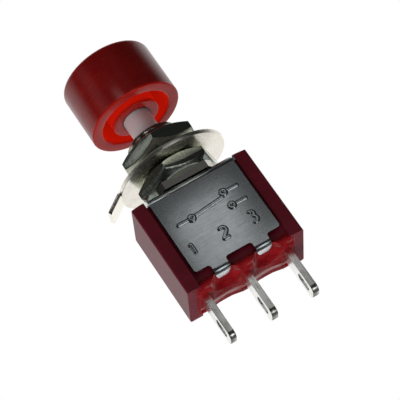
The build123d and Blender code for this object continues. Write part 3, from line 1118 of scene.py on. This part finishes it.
@dataclass
class RaisedMarks:
    """Pressed-up marks on the frame: a changeover contact's symbol over the lugs' plain numbers."""

    stroke: float = 0.24 * MM
    proud: float = 0.8
    digit_places: tuple[float, ...] = (-3.69, -0.19, 3.11)
    digit_level: float = -7.4
    common_level: float = -4.35
    closed_level: float = -3.5
    open_level: float = -5.2
    end: float = 3.85
    pivot: float = 2.05
    ring: float = 0.27
    ring_steps: int = 24
    blade_short: Point = (0.1, 0.12)
    tip: float = 0.03
    step: float = 0.05 * MM
    sides: int = 16

    def digits(self) -> list[list[Point]]:
        """The strokes of 1, 2 and 3, in millimetres round their own middle.

        Returns:
            One stroke for each digit.
        """
        one = [(-0.24, 0.36), (0.04, 0.62), (0.04, -0.62)]
        two = arc((0.0, 0.26), 0.36, 160.0, -38.0) + [(-0.38, -0.62), (0.42, -0.62)]
        three = arc((-0.02, 0.31), 0.31, 145.0, -80.0) + arc((-0.02, -0.28), 0.34, 80.0, -148.0)
        return [one, two, three]

    def strokes(self) -> list[list[Point]]:
        """Every stroke's points on the face, in millimetres; a ring ends where it starts.

        Returns:
            The strokes.
        """
        lines = [
            [(x + place, z + self.digit_level) for x, z in stroke]
            for place, stroke in zip(self.digit_places, self.digits())
        ]
        for side, level in ((-1, self.common_level), (1, self.closed_level), (1, self.open_level)):
            x = side * self.pivot
            lines.append(arc((x, level), self.ring, 0.0, 360.0, self.ring_steps))
            lines.append([(x + side * self.ring, level), (side * self.end, level)])
        rise = (self.closed_level - self.common_level) / (2 * self.pivot)
        back, down = self.blade_short
        lines.append([
            (-self.pivot + self.ring, self.common_level + self.ring * rise),
            (self.pivot - back, self.closed_level - self.ring - down),
        ])
        return lines

    def group(self) -> NodeGroup:
        """Writes the node group: each stroke a half-round bead with round ends.

        Returns:
            The group.
        """
        made = NodeGroup("raised_strokes")
        sheet = made.sheet
        strokes = Sock(sheet, made.entry.outputs[0])
        stroke, proud, face, step = map(made.input, ("Stroke", "Proud", "Face", "Step"))
        sides = made.input("Sides", "NodeSocketInt")
        material = made.input("Material", "NodeSocketMaterial")
        curve = sheet.node("GeometryNodeMeshToCurve", None, {"Mesh": strokes})
        curve = sheet.node("GeometryNodeResampleCurve", {"mode": "LENGTH"}, {"Curve": curve, "Length": step})
        along = sheet.node("GeometryNodeSplineParameter", out="Length")
        whole = sheet.node("GeometryNodeSplineLength", out="Length")
        closed = sheet.node("GeometryNodeInputSplineCyclic")
        short = 1.0 - (along.least(whole - along) / stroke).held()
        rounding = (1.0 - short * short).maths("SQRT").most(self.tip)
        radius = stroke * rounding.most(closed)
        profile = sheet.node("GeometryNodeCurvePrimitiveCircle", None, {"Resolution": sides, "Radius": 1.0})
        bead = sheet.node(
            "GeometryNodeCurveToMesh", None,
            {"Curve": curve, "Profile Curve": profile, "Scale": radius, "Fill Caps": True},
        )
        x, y, z = sheet.split(sheet.node("GeometryNodeInputPosition"))
        place = sheet.vector(x, face + y * proud, z)
        bead = sheet.node("GeometryNodeSetPosition", None, {"Geometry": bead, "Position": place})
        made.finish(bead, material)
        return made

    def mesh(self, face: float, material: bpy.types.Material) -> bpy.types.Mesh:
        """Makes the marks.

        Args:
            face: The y of the frame's front.
            material: Their material.

        Returns:
            Their mesh.
        """
        work = bmesh.new()
        for stroke in self.strokes():
            ring = math.dist(stroke[0], stroke[-1]) < MERGE
            verts = [work.verts.new((x * MM, 0.0, z * MM)) for x, z in (stroke[:-1] if ring else stroke)]
            for first, second in zip(verts, verts[1:] + (verts[:1] if ring else [])):
                work.edges.new((first, second))
        host = placed("marks_host", finished(work, "strokes"))
        return self.group().mesh(host, {
            "Stroke": self.stroke, "Proud": self.proud, "Face": face, "Step": self.step,
            "Sides": self.sides, "Material": material,
        })


@dataclass
class Resin:
    """The potting's poured surface: nearly flush, sunk round the front tabs, creeping down the lugs.

    Lengths are in millimetres. The swell and the ripple are a height and then the numbers in their
    sines, and each creep is (drop, reach).
    """

    half_length: float = 5.62
    half_width: float = 2.95
    lip: float = 0.33
    foot: float = 2.7
    side_wall: Point = (2.05, 2.35)
    end_wall: Point = (5.28, 5.5)
    end_lip: Point = (5.48, 5.62)
    spacing: float = 0.05
    level: float = 0.07
    film: float = 0.035
    tuck: float = 0.06
    tab_places: float = 2.35
    swell: tuple[float, ...] = (0.014, 1.9, 0.7, 2.3, 1.1)
    ripple: Triple = (0.006, 3.7, 1.3)
    front_level: float = 0.475
    back_level: float = 0.31
    back_span: float = 2.1
    back_rise: Point = (1.0, 2.3)
    pool: Triple = (-1.9, 1.5, 1.8)
    pool_edge: Point = (0.62, 1.12)
    pool_front: float = 9.0
    pool_end: Point = (0.5, 0.0)
    creep_curve: float = 1.3
    ceiling: float = 0.78
    lugs: tuple[float, ...] = (-4.7, 0.0, 4.7)
    lug_half: Point = (0.35, 1.0)
    creep: tuple[Point, ...] = ((0.32, 0.15), (0.18, 0.75))

    def heights(self, x: np.ndarray, y: np.ndarray) -> np.ndarray:
        """The surface's height above the case's rim.

        Args:
            x: Places along the case, in millimetres.
            y: Places across it.

        Returns:
            The heights, in millimetres.
        """
        off = np.abs(np.abs(x) - self.tab_places)
        height = np.full_like(x, self.level)
        size, along, start, across, shift = self.swell
        height += size * np.sin(along * x + start) * np.sin(across * y + shift)
        size, along, across = self.ripple
        height += size * np.sin(along * x - across * y)
        wall = np.maximum(ease(*self.side_wall, np.abs(y)), ease(*self.end_wall, np.abs(x)))
        height += (-self.film - height) * wall
        height += (self.tuck - height) * ease(*self.end_lip, np.abs(x))
        arch = self.back_level * (1.0 - (off / self.back_span) ** 2)
        height = np.maximum(height, height + (arch - height) * ease(*self.back_rise, y))
        middle, half_x, half_y = self.pool
        deep = np.minimum(y - middle, 0.0) / self.pool_front + np.maximum(y - middle, 0.0) / half_y
        round_pool = np.sqrt((off / half_x) ** 2 + deep**2)
        front = (1.0 - ease(*self.pool_edge, round_pool)) * ease(*self.pool_end, y)
        height += (self.front_level - height) * front
        half_x, half_y = self.lug_half
        for lug in self.lugs:
            away = np.hypot(np.maximum(np.abs(x - lug) - half_x, 0.0), np.maximum(np.abs(y) - half_y, 0.0))
            for rise, spread in self.creep:
                height -= rise * np.exp(-((away / spread) ** self.creep_curve))
        over = np.clip(np.abs(y) - (self.half_width - self.lip), 0.0, self.lip)
        return np.maximum(height, self.lip - self.film - np.sqrt(self.lip**2 - over**2))

    def mesh(self, rim: float) -> bpy.types.Mesh:
        """Makes the resin's closed body.

        Args:
            rim: The height of the case's rim, in metres.

        Returns:
            Its mesh.
        """
        columns = round(2 * self.half_length / self.spacing) + 1
        rows = round(2 * self.half_width / self.spacing) + 1
        x, y = np.meshgrid(
            np.linspace(-self.half_length, self.half_length, columns),
            np.linspace(-self.half_width, self.half_width, rows), indexing="ij",
        )
        z = self.heights(x, y)
        points = np.stack([x * MM, y * MM, rim + z * MM], axis=-1).reshape(-1, 3)
        work = bmesh.new()
        verts = [work.verts.new(p) for p in points]
        grid = [verts[i * rows:(i + 1) * rows] for i in range(columns)]
        for i in range(columns - 1):
            for j in range(rows - 1):
                work.faces.new((grid[i][j], grid[i][j + 1], grid[i + 1][j + 1], grid[i + 1][j]))
        loop = [grid[i][0] for i in range(columns)] + grid[-1][1:]
        loop += [grid[i][-1] for i in range(columns - 2, -1, -1)] + grid[0][-2:0:-1]
        foot = self.foot * MM
        top = [work.verts.new((v.co.x, max(-foot, min(foot, v.co.y)), rim + self.ceiling * MM)) for v in loop]
        for k, vertex in enumerate(loop):
            after = (k + 1) % len(loop)
            work.faces.new((vertex, loop[after], top[after], top[k]))
        centre = work.verts.new((0.0, 0.0, rim + self.ceiling * MM))
        for k, vertex in enumerate(top):
            work.faces.new((vertex, top[(k + 1) % len(top)], centre))
        bmesh.ops.remove_doubles(work, verts=work.verts, dist=MERGE)
        return turned_out(work, "resin")


@dataclass
class Housing:
    """Case, potting and steel frame, with the raised marks on the frame's front."""

    edge: float = 0.035 * MM
    case_edge: float = 0.05 * MM
    tab_top: float = -10.2 * MM
    tab_heel: float = 2.85 * MM
    tab_tilt: float = math.tan(math.radians(6.0))
    soft_crease: float = 60.0
    marks: RaisedMarks = field(default_factory=RaisedMarks)
    resin: Resin = field(default_factory=Resin)

    def press_tabs(self, mesh: bpy.types.Mesh) -> None:
        """Presses the frame's folded tabs a little further in at their tips.

        Args:
            mesh: The frame's mesh, changed in place.
        """
        for vertex in mesh.vertices:
            inside = self.tab_heel - abs(vertex.co.y)
            if vertex.co.z < self.tab_top and inside > 0.0:
                vertex.co.z += inside * self.tab_tilt

    def build(self, nodes: Nodes) -> None:
        """Builds the pieces.

        Args:
            nodes: The CAD nodes by name.
        """
        shown("case_shell", RoundedCopy(nodes["case"]).mesh("case"), "case", width=self.case_edge)
        mesh = RoundedCopy(nodes["frame"]).mesh("frame")
        self.press_tabs(mesh)
        shown("frame_shell", mesh, "frame", width=self.edge)
        mesh = self.resin.mesh(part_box("case")[0].z)
        shown("potting", mesh, "epoxy_seal", crease=self.soft_crease)
        mesh = self.marks.mesh(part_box("frame")[0].y, FINISHES["frame_steel"].material())
        shown("raised_marks", mesh, slot="frame_steel", crease=self.soft_crease)


@dataclass
class Lugs:
    """The three tinned solder lugs."""

    edge: float = 0.05 * MM
    names: tuple[str, ...] = ("terminal_common", "terminal_normally_open", "terminal_normally_closed")

    def build(self, nodes: Nodes) -> None:
        """Builds the pieces.

        Args:
            nodes: The CAD nodes by name.
        """
        for name in self.names:
            shown(name.replace("terminal", "lug"), RoundedCopy(nodes[name]).mesh(name), name, width=self.edge)


@dataclass
class Thread:
    """The bushing's screw thread with its keyway, as a sleeve over a thinner barrel.

    The flank is the ridge's steepness and how much of it the root's flat takes.
    """

    crest: float = 3.0 * MM
    depth: float = 0.29 * MM
    pitch: float = 0.5 * MM
    start: float = 0.9 * MM
    end: float = 7.4 * MM
    lead_in: float = 0.3 * MM
    core: float = 2.2 * MM
    keyway_angle: float = math.radians(175.0)
    keyway_floor: float = 2.55 * MM
    keyway_half: float = 0.5 * MM
    around: int = 288
    along: int = 208
    flank: Point = (1.3, 0.12)

    def sizes(self) -> dict[str, float]:
        """The node group's lengths and its angle.

        Returns:
            Each by the name of its input.
        """
        return {
            "Crest": self.crest, "Depth": self.depth, "Pitch": self.pitch, "Start": self.start,
            "End": self.end, "Lead In": self.lead_in, "Core": self.core,
            "Key Angle": self.keyway_angle, "Key Floor": self.keyway_floor, "Key Half": self.keyway_half,
        }

    def group(self) -> NodeGroup:
        """Writes the node group: a grid rolled up, its radius following the screw line.

        Returns:
            The group.
        """
        made = NodeGroup("screw_thread")
        sheet = made.sheet
        sizes = map(made.input, self.sizes())
        crest, depth, pitch, start, end, lead, core, key_angle, key_floor, key_half = sizes
        around = made.input("Around", "NodeSocketInt")
        along = made.input("Along", "NodeSocketInt")
        material = made.input("Material", "NodeSocketMaterial")
        grid = sheet.node(
            "GeometryNodeMeshGrid", None,
            {"Size X": 1.0, "Size Y": 1.0, "Vertices X": around + 1.0, "Vertices Y": along + 1.0},
        )
        u, v, _ = sheet.split(sheet.node("GeometryNodeInputPosition"))
        turn, height = u + 0.5, v + 0.5
        angle = turn * (2 * math.pi)
        z = start + (end - start) * ((height * along - 1.0) / (along - 2.0)).held()
        saw = (z / pitch - turn).maths("FRACT")
        steep, root = self.flank
        ridge = (abs(saw * 2.0 - 1.0) * steep - root).held()
        radius = crest - depth * (1.0 - ridge)
        radius = radius.least(crest - (z - end + lead).most(0.0))
        off = (angle - key_angle).maths("SINE")
        facing = (angle - key_angle).maths("COSINE")
        in_key = (abs(off) * radius < key_half) * (facing > 0.0)
        radius = radius + (key_floor / facing.most(0.5) - radius).least(0.0) * in_key
        rim = (height * along < 0.5).most(height * along > along - 0.5)
        radius = radius + (core - radius) * rim
        place = sheet.vector(angle.maths("COSINE") * radius, angle.maths("SINE") * radius, z)
        rolled = sheet.node("GeometryNodeSetPosition", None, {"Geometry": grid, "Position": place})
        joined = sheet.node("GeometryNodeMergeByDistance", None, {"Geometry": rolled, "Distance": MERGE})
        made.finish(joined, material)
        return made

    def mesh(self, material: bpy.types.Material) -> bpy.types.Mesh:
        """Makes the sleeve.

        Args:
            material: Its material.

        Returns:
            Its mesh, open only towards the core.
        """
        host = placed("thread_host", bpy.data.meshes.new("thread_host"))
        counts = {"Around": self.around, "Along": self.along}
        return self.group().mesh(host, {**self.sizes(), **counts, "Material": material})


@dataclass
class Nut:
    """Hexagon nut, chamfered deeply round both faces."""

    bottom: float
    turn: float
    height: float = 1.9 * MM
    half_flats: float = 4.0 * MM
    face_radius: float = 3.6 * MM
    bore: float = 2.75 * MM
    sink: float = 0.3 * MM
    corner: float = 0.06 * MM
    slope: float = math.tan(math.radians(30.0))
    corner_steps: int = 4
    flat_steps: int = 14

    def outline(self) -> list[Vector]:
        """The hexagon with its corners a little rounded, and points along its flats.

        Returns:
            The points, in order round the axis.
        """
        centre = (self.half_flats - self.corner) / math.cos(math.radians(30.0))
        corners: list[list[Vector]] = []
        for side in range(6):
            axis = self.turn + 60.0 * side
            middle = Vector(arc((0.0, 0.0), centre, axis, axis, 1)[0])
            bend = arc(tuple(middle), self.corner, axis - 30.0, axis + 30.0, self.corner_steps)
            corners.append([Vector(point) for point in bend])
        points: list[Vector] = []
        for here, after in zip(corners, corners[1:] + corners[:1]):
            points += here
            points += [here[-1].lerp(after[0], i / self.flat_steps) for i in range(1, self.flat_steps)]
        return points

    def mesh(self) -> bpy.types.Mesh:
        """Makes the nut.

        Returns:
            Its closed mesh.
        """
        work = bmesh.new()
        columns = []
        top = self.bottom + self.height
        for point in self.outline():
            out = point.normalized()
            cut = (point.length - self.face_radius) * self.slope
            bore, mouth, face = (out * r for r in (self.bore, self.bore + self.sink, self.face_radius))
            column = [
                (bore, self.bottom + self.sink), (mouth, self.bottom), (face, self.bottom),
                (point, self.bottom + cut), (point, top - cut),
                (face, top), (mouth, top), (bore, top - self.sink),
            ]
            columns.append([work.verts.new((flat.x, flat.y, z)) for flat, z in column])
        for here, after in zip(columns, columns[1:] + columns[:1]):
            for i in range(len(here)):
                j = (i + 1) % len(here)
                work.faces.new((here[i], after[i], after[j], here[j]))
        return turned_out(work, "nut")


@dataclass
class Mounting:
    """Threaded bushing, its two nuts and the locating washer.

    The upper nut is backed off and the washer leans on the lower one, as loose hardware does. The
    washer's rolled rim is (height, inset) steps from its underside up, in millimetres.
    """

    edge: float = 0.03 * MM
    rim_band: float = 0.02 * MM
    rolled: tuple[Point, ...] = ((0.02, 0.11), (0.15, 0.025), (0.28, 0.01), (0.41, 0.05))
    nut_edge: float = 0.05 * MM
    sharp: float = 22.0
    thread_crease: float = 30.0
    lower_turn: float = -110.0
    upper_turn: float = -101.0
    backed_off: float = 1.1 * MM
    lean: float = math.atan(0.08)
    lift: float = 0.16 * MM
    flange_proud: float = 0.12 * MM
    flange_cut: float = 4.05 * MM
    flange_turn: float = math.radians(42.5)
    facing: float = 0.99
    barrel_inside: float = 2.3 * MM
    barrel_share: float = 1.02
    thread: Thread = field(default_factory=Thread)

    def roll_rim(self, mesh: bpy.types.Mesh, radius: float, under: float) -> None:
        """Rounds the washer's outer rim, more on its underside.

        Args:
            mesh: The washer's mesh, changed in place.
            radius: Its outer radius.
            under: The height of its underside.
        """
        for vertex in mesh.vertices:
            if abs(vertex.co.xy.length - radius) < self.rim_band:
                rise = vertex.co.z - under
                inset = next(cut for height, cut in self.rolled if rise < height * MM)
                vertex.co.xy *= 1.0 - inset * MM / radius

    def cut_flange(self, work: bmesh.types.BMesh) -> None:
        """Takes the four corners off the bushing's square foot.

        Args:
            work: The bushing's mesh.
        """
        for across, along in ((1, 1), (1, -1), (-1, -1), (-1, 1)):
            out = Vector((across * math.cos(self.flange_turn), along * math.sin(self.flange_turn), 0))
            everything = work.verts[:] + work.edges[:] + work.faces[:]
            cut = bmesh.ops.bisect_plane(
                work, geom=everything, dist=RoundedCopy.weld, plane_co=out * self.flange_cut, plane_no=out,
                clear_outer=True,
            )
            edges = [e for e in cut["geom_cut"] if isinstance(e, bmesh.types.BMEdge)]
            bmesh.ops.holes_fill(work, edges=edges, sides=0)

    def bushing(self, node: bpy.types.Object) -> bpy.types.Mesh:
        """The bushing: its CAD shape with a thinner barrel, inside the threaded sleeve.

        Args:
            node: The CAD node.

        Returns:
            The joined mesh.
        """
        work = bmesh.new()
        work.from_mesh(RoundedCopy(node).mesh("bushing"))
        self.cut_flange(work)
        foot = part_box("bushing")[1].y
        for vertex in work.verts:
            facing = any(abs(face.normal.y) > self.facing for face in vertex.link_faces)
            if facing and abs(vertex.co.y) > foot - MERGE:
                vertex.co.y = math.copysign(foot + self.flange_proud, vertex.co.y)
        start, crest = self.thread.start, self.thread.crest
        for vertex in work.verts:
            radius = vertex.co.xy.length
            on_barrel = radius > self.barrel_inside and abs(vertex.co.y) < foot + MERGE
            above = vertex.co.z > start + MERGE
            on_step = vertex.co.z > start - MERGE and radius < crest + 10 * MERGE
            if on_barrel and (above or on_step):
                vertex.co.xy *= self.thread.core * self.barrel_share / radius
        work.from_mesh(self.thread.mesh(FINISHES["nickel"].material()))
        bmesh.ops.bridge_loops(work, edges=[edge for edge in work.edges if edge.is_boundary])
        return turned_out(work, "bushing")

    def build(self, nodes: Nodes) -> None:
        """Builds the pieces.

        Args:
            nodes: The CAD nodes by name.
        """
        low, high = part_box("lower_nut")
        nuts = {
            "lower_nut": (Nut(low.z, self.lower_turn), "nut_nickel"),
            "upper_nut": (Nut(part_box("upper_nut")[0].z + self.backed_off, self.upper_turn), "nut_turned"),
        }
        for name, (nut, finish) in nuts.items():
            shown(f"{name}_metal", nut.mesh(), name, finish=finish, width=self.nut_edge, sharp=self.sharp)
        mesh = RoundedCopy(nodes["locating_washer"], self.sharp).mesh("locating_washer")
        self.roll_rim(mesh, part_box("locating_washer")[1].y, high.z)
        seat = Matrix.Translation((0, 0, high.z))
        lifted = Matrix.Translation((0, 0, self.lift)) @ seat
        loose = lifted @ Matrix.Rotation(self.lean, 4, "X") @ seat.inverted()
        shown(
            "locating_washer_metal", mesh, "locating_washer", width=self.edge, sharp=self.sharp, moved=loose,
        )
        shown("bushing_metal", self.bushing(nodes["bushing"]), "bushing", crease=self.thread_crease)


@dataclass
class Button:
    """The red cap and its white plunger."""

    steps: int = 160
    corner_steps: int = 6
    crease: float = 35.0
    draft: float = 0.03 * MM
    cap_radius: float = 5.1 * MM
    rim: float = 10.6 * MM
    top: float = 17.05 * MM
    wall: float = 1.2 * MM
    ceiling: float = 15.85 * MM
    boss_radius: float = 2.65 * MM
    boss_end: float = 10.5 * MM
    socket_radius: float = 1.52 * MM
    socket_top: float = 14.1 * MM

    def cap(self) -> bpy.types.Mesh:
        """The cap: a cup with a boss inside.

        Returns:
            Its mesh.
        """
        outline = rounded([
            (0, self.socket_top, 0),
            (self.socket_radius, self.socket_top, 0.05 * MM),
            (self.socket_radius, self.boss_end, 0.06 * MM),
            (self.boss_radius, self.boss_end, 0.14 * MM),
            (self.boss_radius - self.draft, self.ceiling, 0.2 * MM),
            (self.cap_radius - self.wall - self.draft, self.ceiling, 0.2 * MM),
            (self.cap_radius - self.wall, self.rim, 0.13 * MM),
            (self.cap_radius, self.rim, 0.13 * MM),
            (self.cap_radius, self.top, 0.5 * MM),
            (0, self.top, 0),
        ], self.corner_steps)
        return lathe(outline, self.steps)

    def build(self, nodes: Nodes) -> None:
        """Builds the pieces.

        Args:
            nodes: The CAD nodes by name.
        """
        shown("cap_shell", self.cap(), "cap", body=BUTTON, crease=self.crease)
        mesh = RoundedCopy(nodes["plunger"]).mesh("plunger")
        shown("plunger_rod", mesh, "plunger", body=BUTTON, crease=self.crease)


@dataclass
class Inside:
    """The working parts that stay out of sight, in their CAD shapes with finishes of their own."""

    slots: dict[str, str] = field(default_factory=lambda: dict(SLOT_OF_NODE))

    def build(self, nodes: Nodes) -> None:
        """Gives every CAD node its finish.

        Args:
            nodes: The CAD nodes by name.
        """
        for name, slot in self.slots.items():
            node = nodes[name]
            node.data.materials.clear()
            node.data.materials.append(FINISHES[slot].material())


@dataclass
class Springs:
    """The two compression springs, rounded copies of their CAD shapes."""

    joint: str = "button_press"
    crease: float = 50.0
    level: int = 2
    give: dict[str, float] = field(default_factory=lambda: {"return_spring": 1.5 * MM, "arm_spring": 1.05 * MM})

    def build(self, nodes: Nodes) -> None:
        """Builds the pieces.

        Args:
            nodes: The CAD nodes by name.
        """
        for name, give in self.give.items():
            low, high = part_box(name)
            mesh = RoundedCopy(nodes[name], self.crease, self.level).mesh(name)
            spring = shown(f"{name}_wire", mesh, name, crease=self.crease)
            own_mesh(spring)


# ---------------------------------------------------------------- studio
@dataclass(frozen=True)
class Patch:
    """A lit patch of the surroundings: its direction, the cosines at its edge, and its brightness."""

    way: Triple
    edge: Point
    level: float


@dataclass(frozen=True)
class Lamp:
    """A soft lamp that gloss doesn't show; in metres from the middle of the switch, and watts."""

    name: str
    off: Triple
    size: float
    power: float


@dataclass(frozen=True)
class Card:
    """A lit card, in millimetres, that only gloss shows: what it points at and the way to it from there."""

    name: str
    aim: Triple
    way: Triple
    far: float
    size: Point
    level: float


@dataclass
class Studio:
    """Pale floor, soft lamps, white surroundings and the camera."""

    camera_place: Triple = (-45.1038, -182.2615, -94.5202)
    camera_right: Triple = (0.85643778, 0.04845451, -0.5139713)
    camera_down: Triple = (-0.46813688, 0.49258781, -0.73362464)
    camera_ahead: Triple = (0.21762857, 0.86891277, 0.44455415)
    lens: float = 188.19
    sensor: float = 36.0
    plain_level: float = 0.15
    front_level: float = 0.022
    patches: tuple[Patch, ...] = (
        Patch((0.22, -0.87, 0.44), (0.985, 0.994), 0.08),
        Patch((-0.78, -0.44, 0.44), (0.95, 0.99), 0.32),
        Patch((0.22, -0.50, -0.84), (0.95, 0.985), 1.4),
        Patch((0.0, 0.0, 1.0), (0.78, 0.96), 0.08),
    )
    behind: Point = (-0.05, 0.4)
    below: Point = (0.15, 0.42)
    back_fall: float = 0.9
    lamps: tuple[Lamp, ...] = (
        Lamp("overhead", (0.06, 0.08, 0.36), 0.3, 1.1),
        Lamp("under", (-0.07, -0.06, -0.31), 0.2, 0.55),
        Lamp("side", (-0.28, -0.115, -0.13), 0.2, 0.35),
        Lamp("back", (0.15, 0.30, 0.12), 0.25, 0.5),
    )
    cards: tuple[Card, ...] = (
        Card("plate_card", (-0.8, -3.4, -6.8), (0.22, -0.87, 0.44), 17.0, (7.0, 7.0), 0.50),
        Card("lug_card", (0.0, -1.0, -15.0), (0.22, -0.87, 0.44), 20.0, (16.0, 5.0), 0.36),
        Card("thread_card", (-0.8, -2.9, 6.9), (-0.246, -0.861, 0.445), 20.0, (5.0, 5.0), 1.6),
        Card("back_card", (0.0, 0.0, 10.6), (0.218, 0.869, -0.445), 60.0, (60.0, 20.0), 0.55),
    )
    floor_gap: float = 0.02 * MM
    floor_half: float = 0.8
    floor_fade: Point = (30.0, 160.0)
    paper_dark: Colour = (0.90, 0.90, 0.90)
    paper_light: Colour = (0.94, 0.94, 0.94)

    def camera(self) -> None:
        """Stands the camera below and in front of the switch."""
        data = bpy.data.cameras.new("camera")
        data.lens, data.sensor_width = self.lens, self.sensor
        data.clip_start, data.clip_end = 0.01, 10.0
        right, down, ahead = map(Vector, (self.camera_right, self.camera_down, self.camera_ahead))
        axes = Matrix((right, -down, -ahead)).transposed()
        camera = placed("camera", data)
        camera.matrix_world = Matrix.Translation(Vector(self.camera_place) * MM) @ axes.to_4x4()
        bpy.context.scene.camera = camera

    def world(self) -> None:
        """White surroundings, with a dim side that gives metal and gloss something to show."""
        world = bpy.data.worlds.new("studio")
        bpy.context.scene.world = world
        world.use_nodes = True
        world.cycles.sampling_method = "NONE"
        sheet = Sheet(world.node_tree)
        x, y, z = sheet.split(sheet.node("ShaderNodeTexCoord", out="Generated"))
        rays = sheet.node("ShaderNodeLightPath").socket.node.outputs
        kinds = ("Camera", "Glossy", "Transmission")
        camera, glossy, through = (Sock(sheet, rays[f"Is {kind} Ray"]) for kind in kinds)
        front: Sock | float = self.front_level
        for patch in self.patches:
            by_x, by_y, by_z = patch.way
            front = front + (x * by_x + y * by_y + z * by_z).smooth(*patch.edge) * patch.level
        back = 1.0 - (-z).smooth(*self.below) * self.back_fall
        mirrored = front + (back - front) * y.smooth(*self.behind)
        level = self.plain_level + (mirrored - self.plain_level) * glossy
        level = level + (1.0 - level) * camera.most(through)
        sheet.surface(sheet.node("ShaderNodeBackground", None, {"Color": WHITE, "Strength": level}))

    @staticmethod
    def hang(name: str, place: Vector, aim: Vector, size: Point, power: float) -> bpy.types.Object:
        """Hangs a rectangular lamp.

        Args:
            name: Its name.
            place: Where it is.
            aim: What it points at.
            size: Its width and height.
            power: Watts.

        Returns:
            The lamp.
        """
        data = bpy.data.lights.new(name, "AREA")
        data.shape, data.energy = "RECTANGLE", power
        data.size, data.size_y = size
        lamp = placed(name, data)
        lamp.location = place
        lamp.rotation_mode = "QUATERNION"
        lamp.rotation_quaternion = (aim - place).to_track_quat("-Z", "Y")
        lamp.visible_camera = False
        return lamp

    def paper(self) -> bpy.types.Material:
        """The floor's material: paper that fades into white, and can be seen through from below.

        Returns:
            The material.
        """
        made = bpy.data.materials.new("floor_paper")
        made.use_nodes = True
        sheet = Sheet(made.node_tree)
        at = sheet.millimetres()
        fibre = sheet.noise(at, 3.0, detail=4.0, rough=0.6)
        colour = sheet.mix(fibre, self.paper_dark, self.paper_light)
        paper = sheet.node("ShaderNodeBsdfDiffuse", None, {"Color": colour})
        haze = sheet.node("ShaderNodeEmission", None, {"Color": WHITE, "Strength": 1.0})
        away = sheet.node("ShaderNodeVectorMath", {"operation": "LENGTH"}, {"Vector": at}, out="Value")
        above = sheet.either(away.smooth(*self.floor_fade), paper, haze)
        below = sheet.node("ShaderNodeNewGeometry", out="Backfacing")
        sheet.surface(sheet.either(below, above, sheet.node("ShaderNodeBsdfTransparent")))
        return made

    def floor(self, height: float) -> None:
        """Lays the floor under the lugs, for the camera only.

        Args:
            height: Its level.
        """
        half = self.floor_half
        corners = [(x * half, y * half, height) for x, y in ((-1, -1), (1, -1), (1, 1), (-1, 1))]
        mesh = bpy.data.meshes.new("floor")
        mesh.from_pydata(corners, [], [(0, 1, 2, 3)])
        mesh.materials.append(self.paper())
        floor = placed("floor", mesh)
        for ray in ("diffuse", "glossy", "transmission", "shadow"):
            setattr(floor, f"visible_{ray}", False)
        floor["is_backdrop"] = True

    def build(self, low: Vector, high: Vector) -> None:
        """Sets the studio up round the switch.

        Args:
            low: The switch's lowest corner.
            high: Its highest corner.
        """
        bpy.context.scene.view_settings.view_transform = "Standard"
        self.camera()
        self.world()
        centre = (low + high) / 2
        self.floor(low.z - self.floor_gap)
        for lamp in self.lamps:
            hung = self.hang(lamp.name, centre + Vector(lamp.off), centre, (lamp.size, lamp.size), lamp.power)
            hung.visible_glossy = False
        for card in self.cards:
            aim, (width, height) = Vector(card.aim) * MM, (side * MM for side in card.size)
            place = aim + Vector(card.way).normalized() * (card.far * MM)
            hung = self.hang(card.name, place, aim, (width, height), card.level * math.pi * width * height)
            hung.visible_diffuse = False


def main() -> None:
    """Builds the switch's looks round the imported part."""
    logging.basicConfig(level=logging.INFO, format="%(name)s: %(message)s")
    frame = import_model()
    low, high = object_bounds()
    nodes = frame["nodes"]
    Inside().build(nodes)
    Studio().build(low, high)
    for part in (Housing(), Lugs(), Mounting(), Button(), Springs()):
        part.build(nodes)


if __name__ == "__main__":
    main()
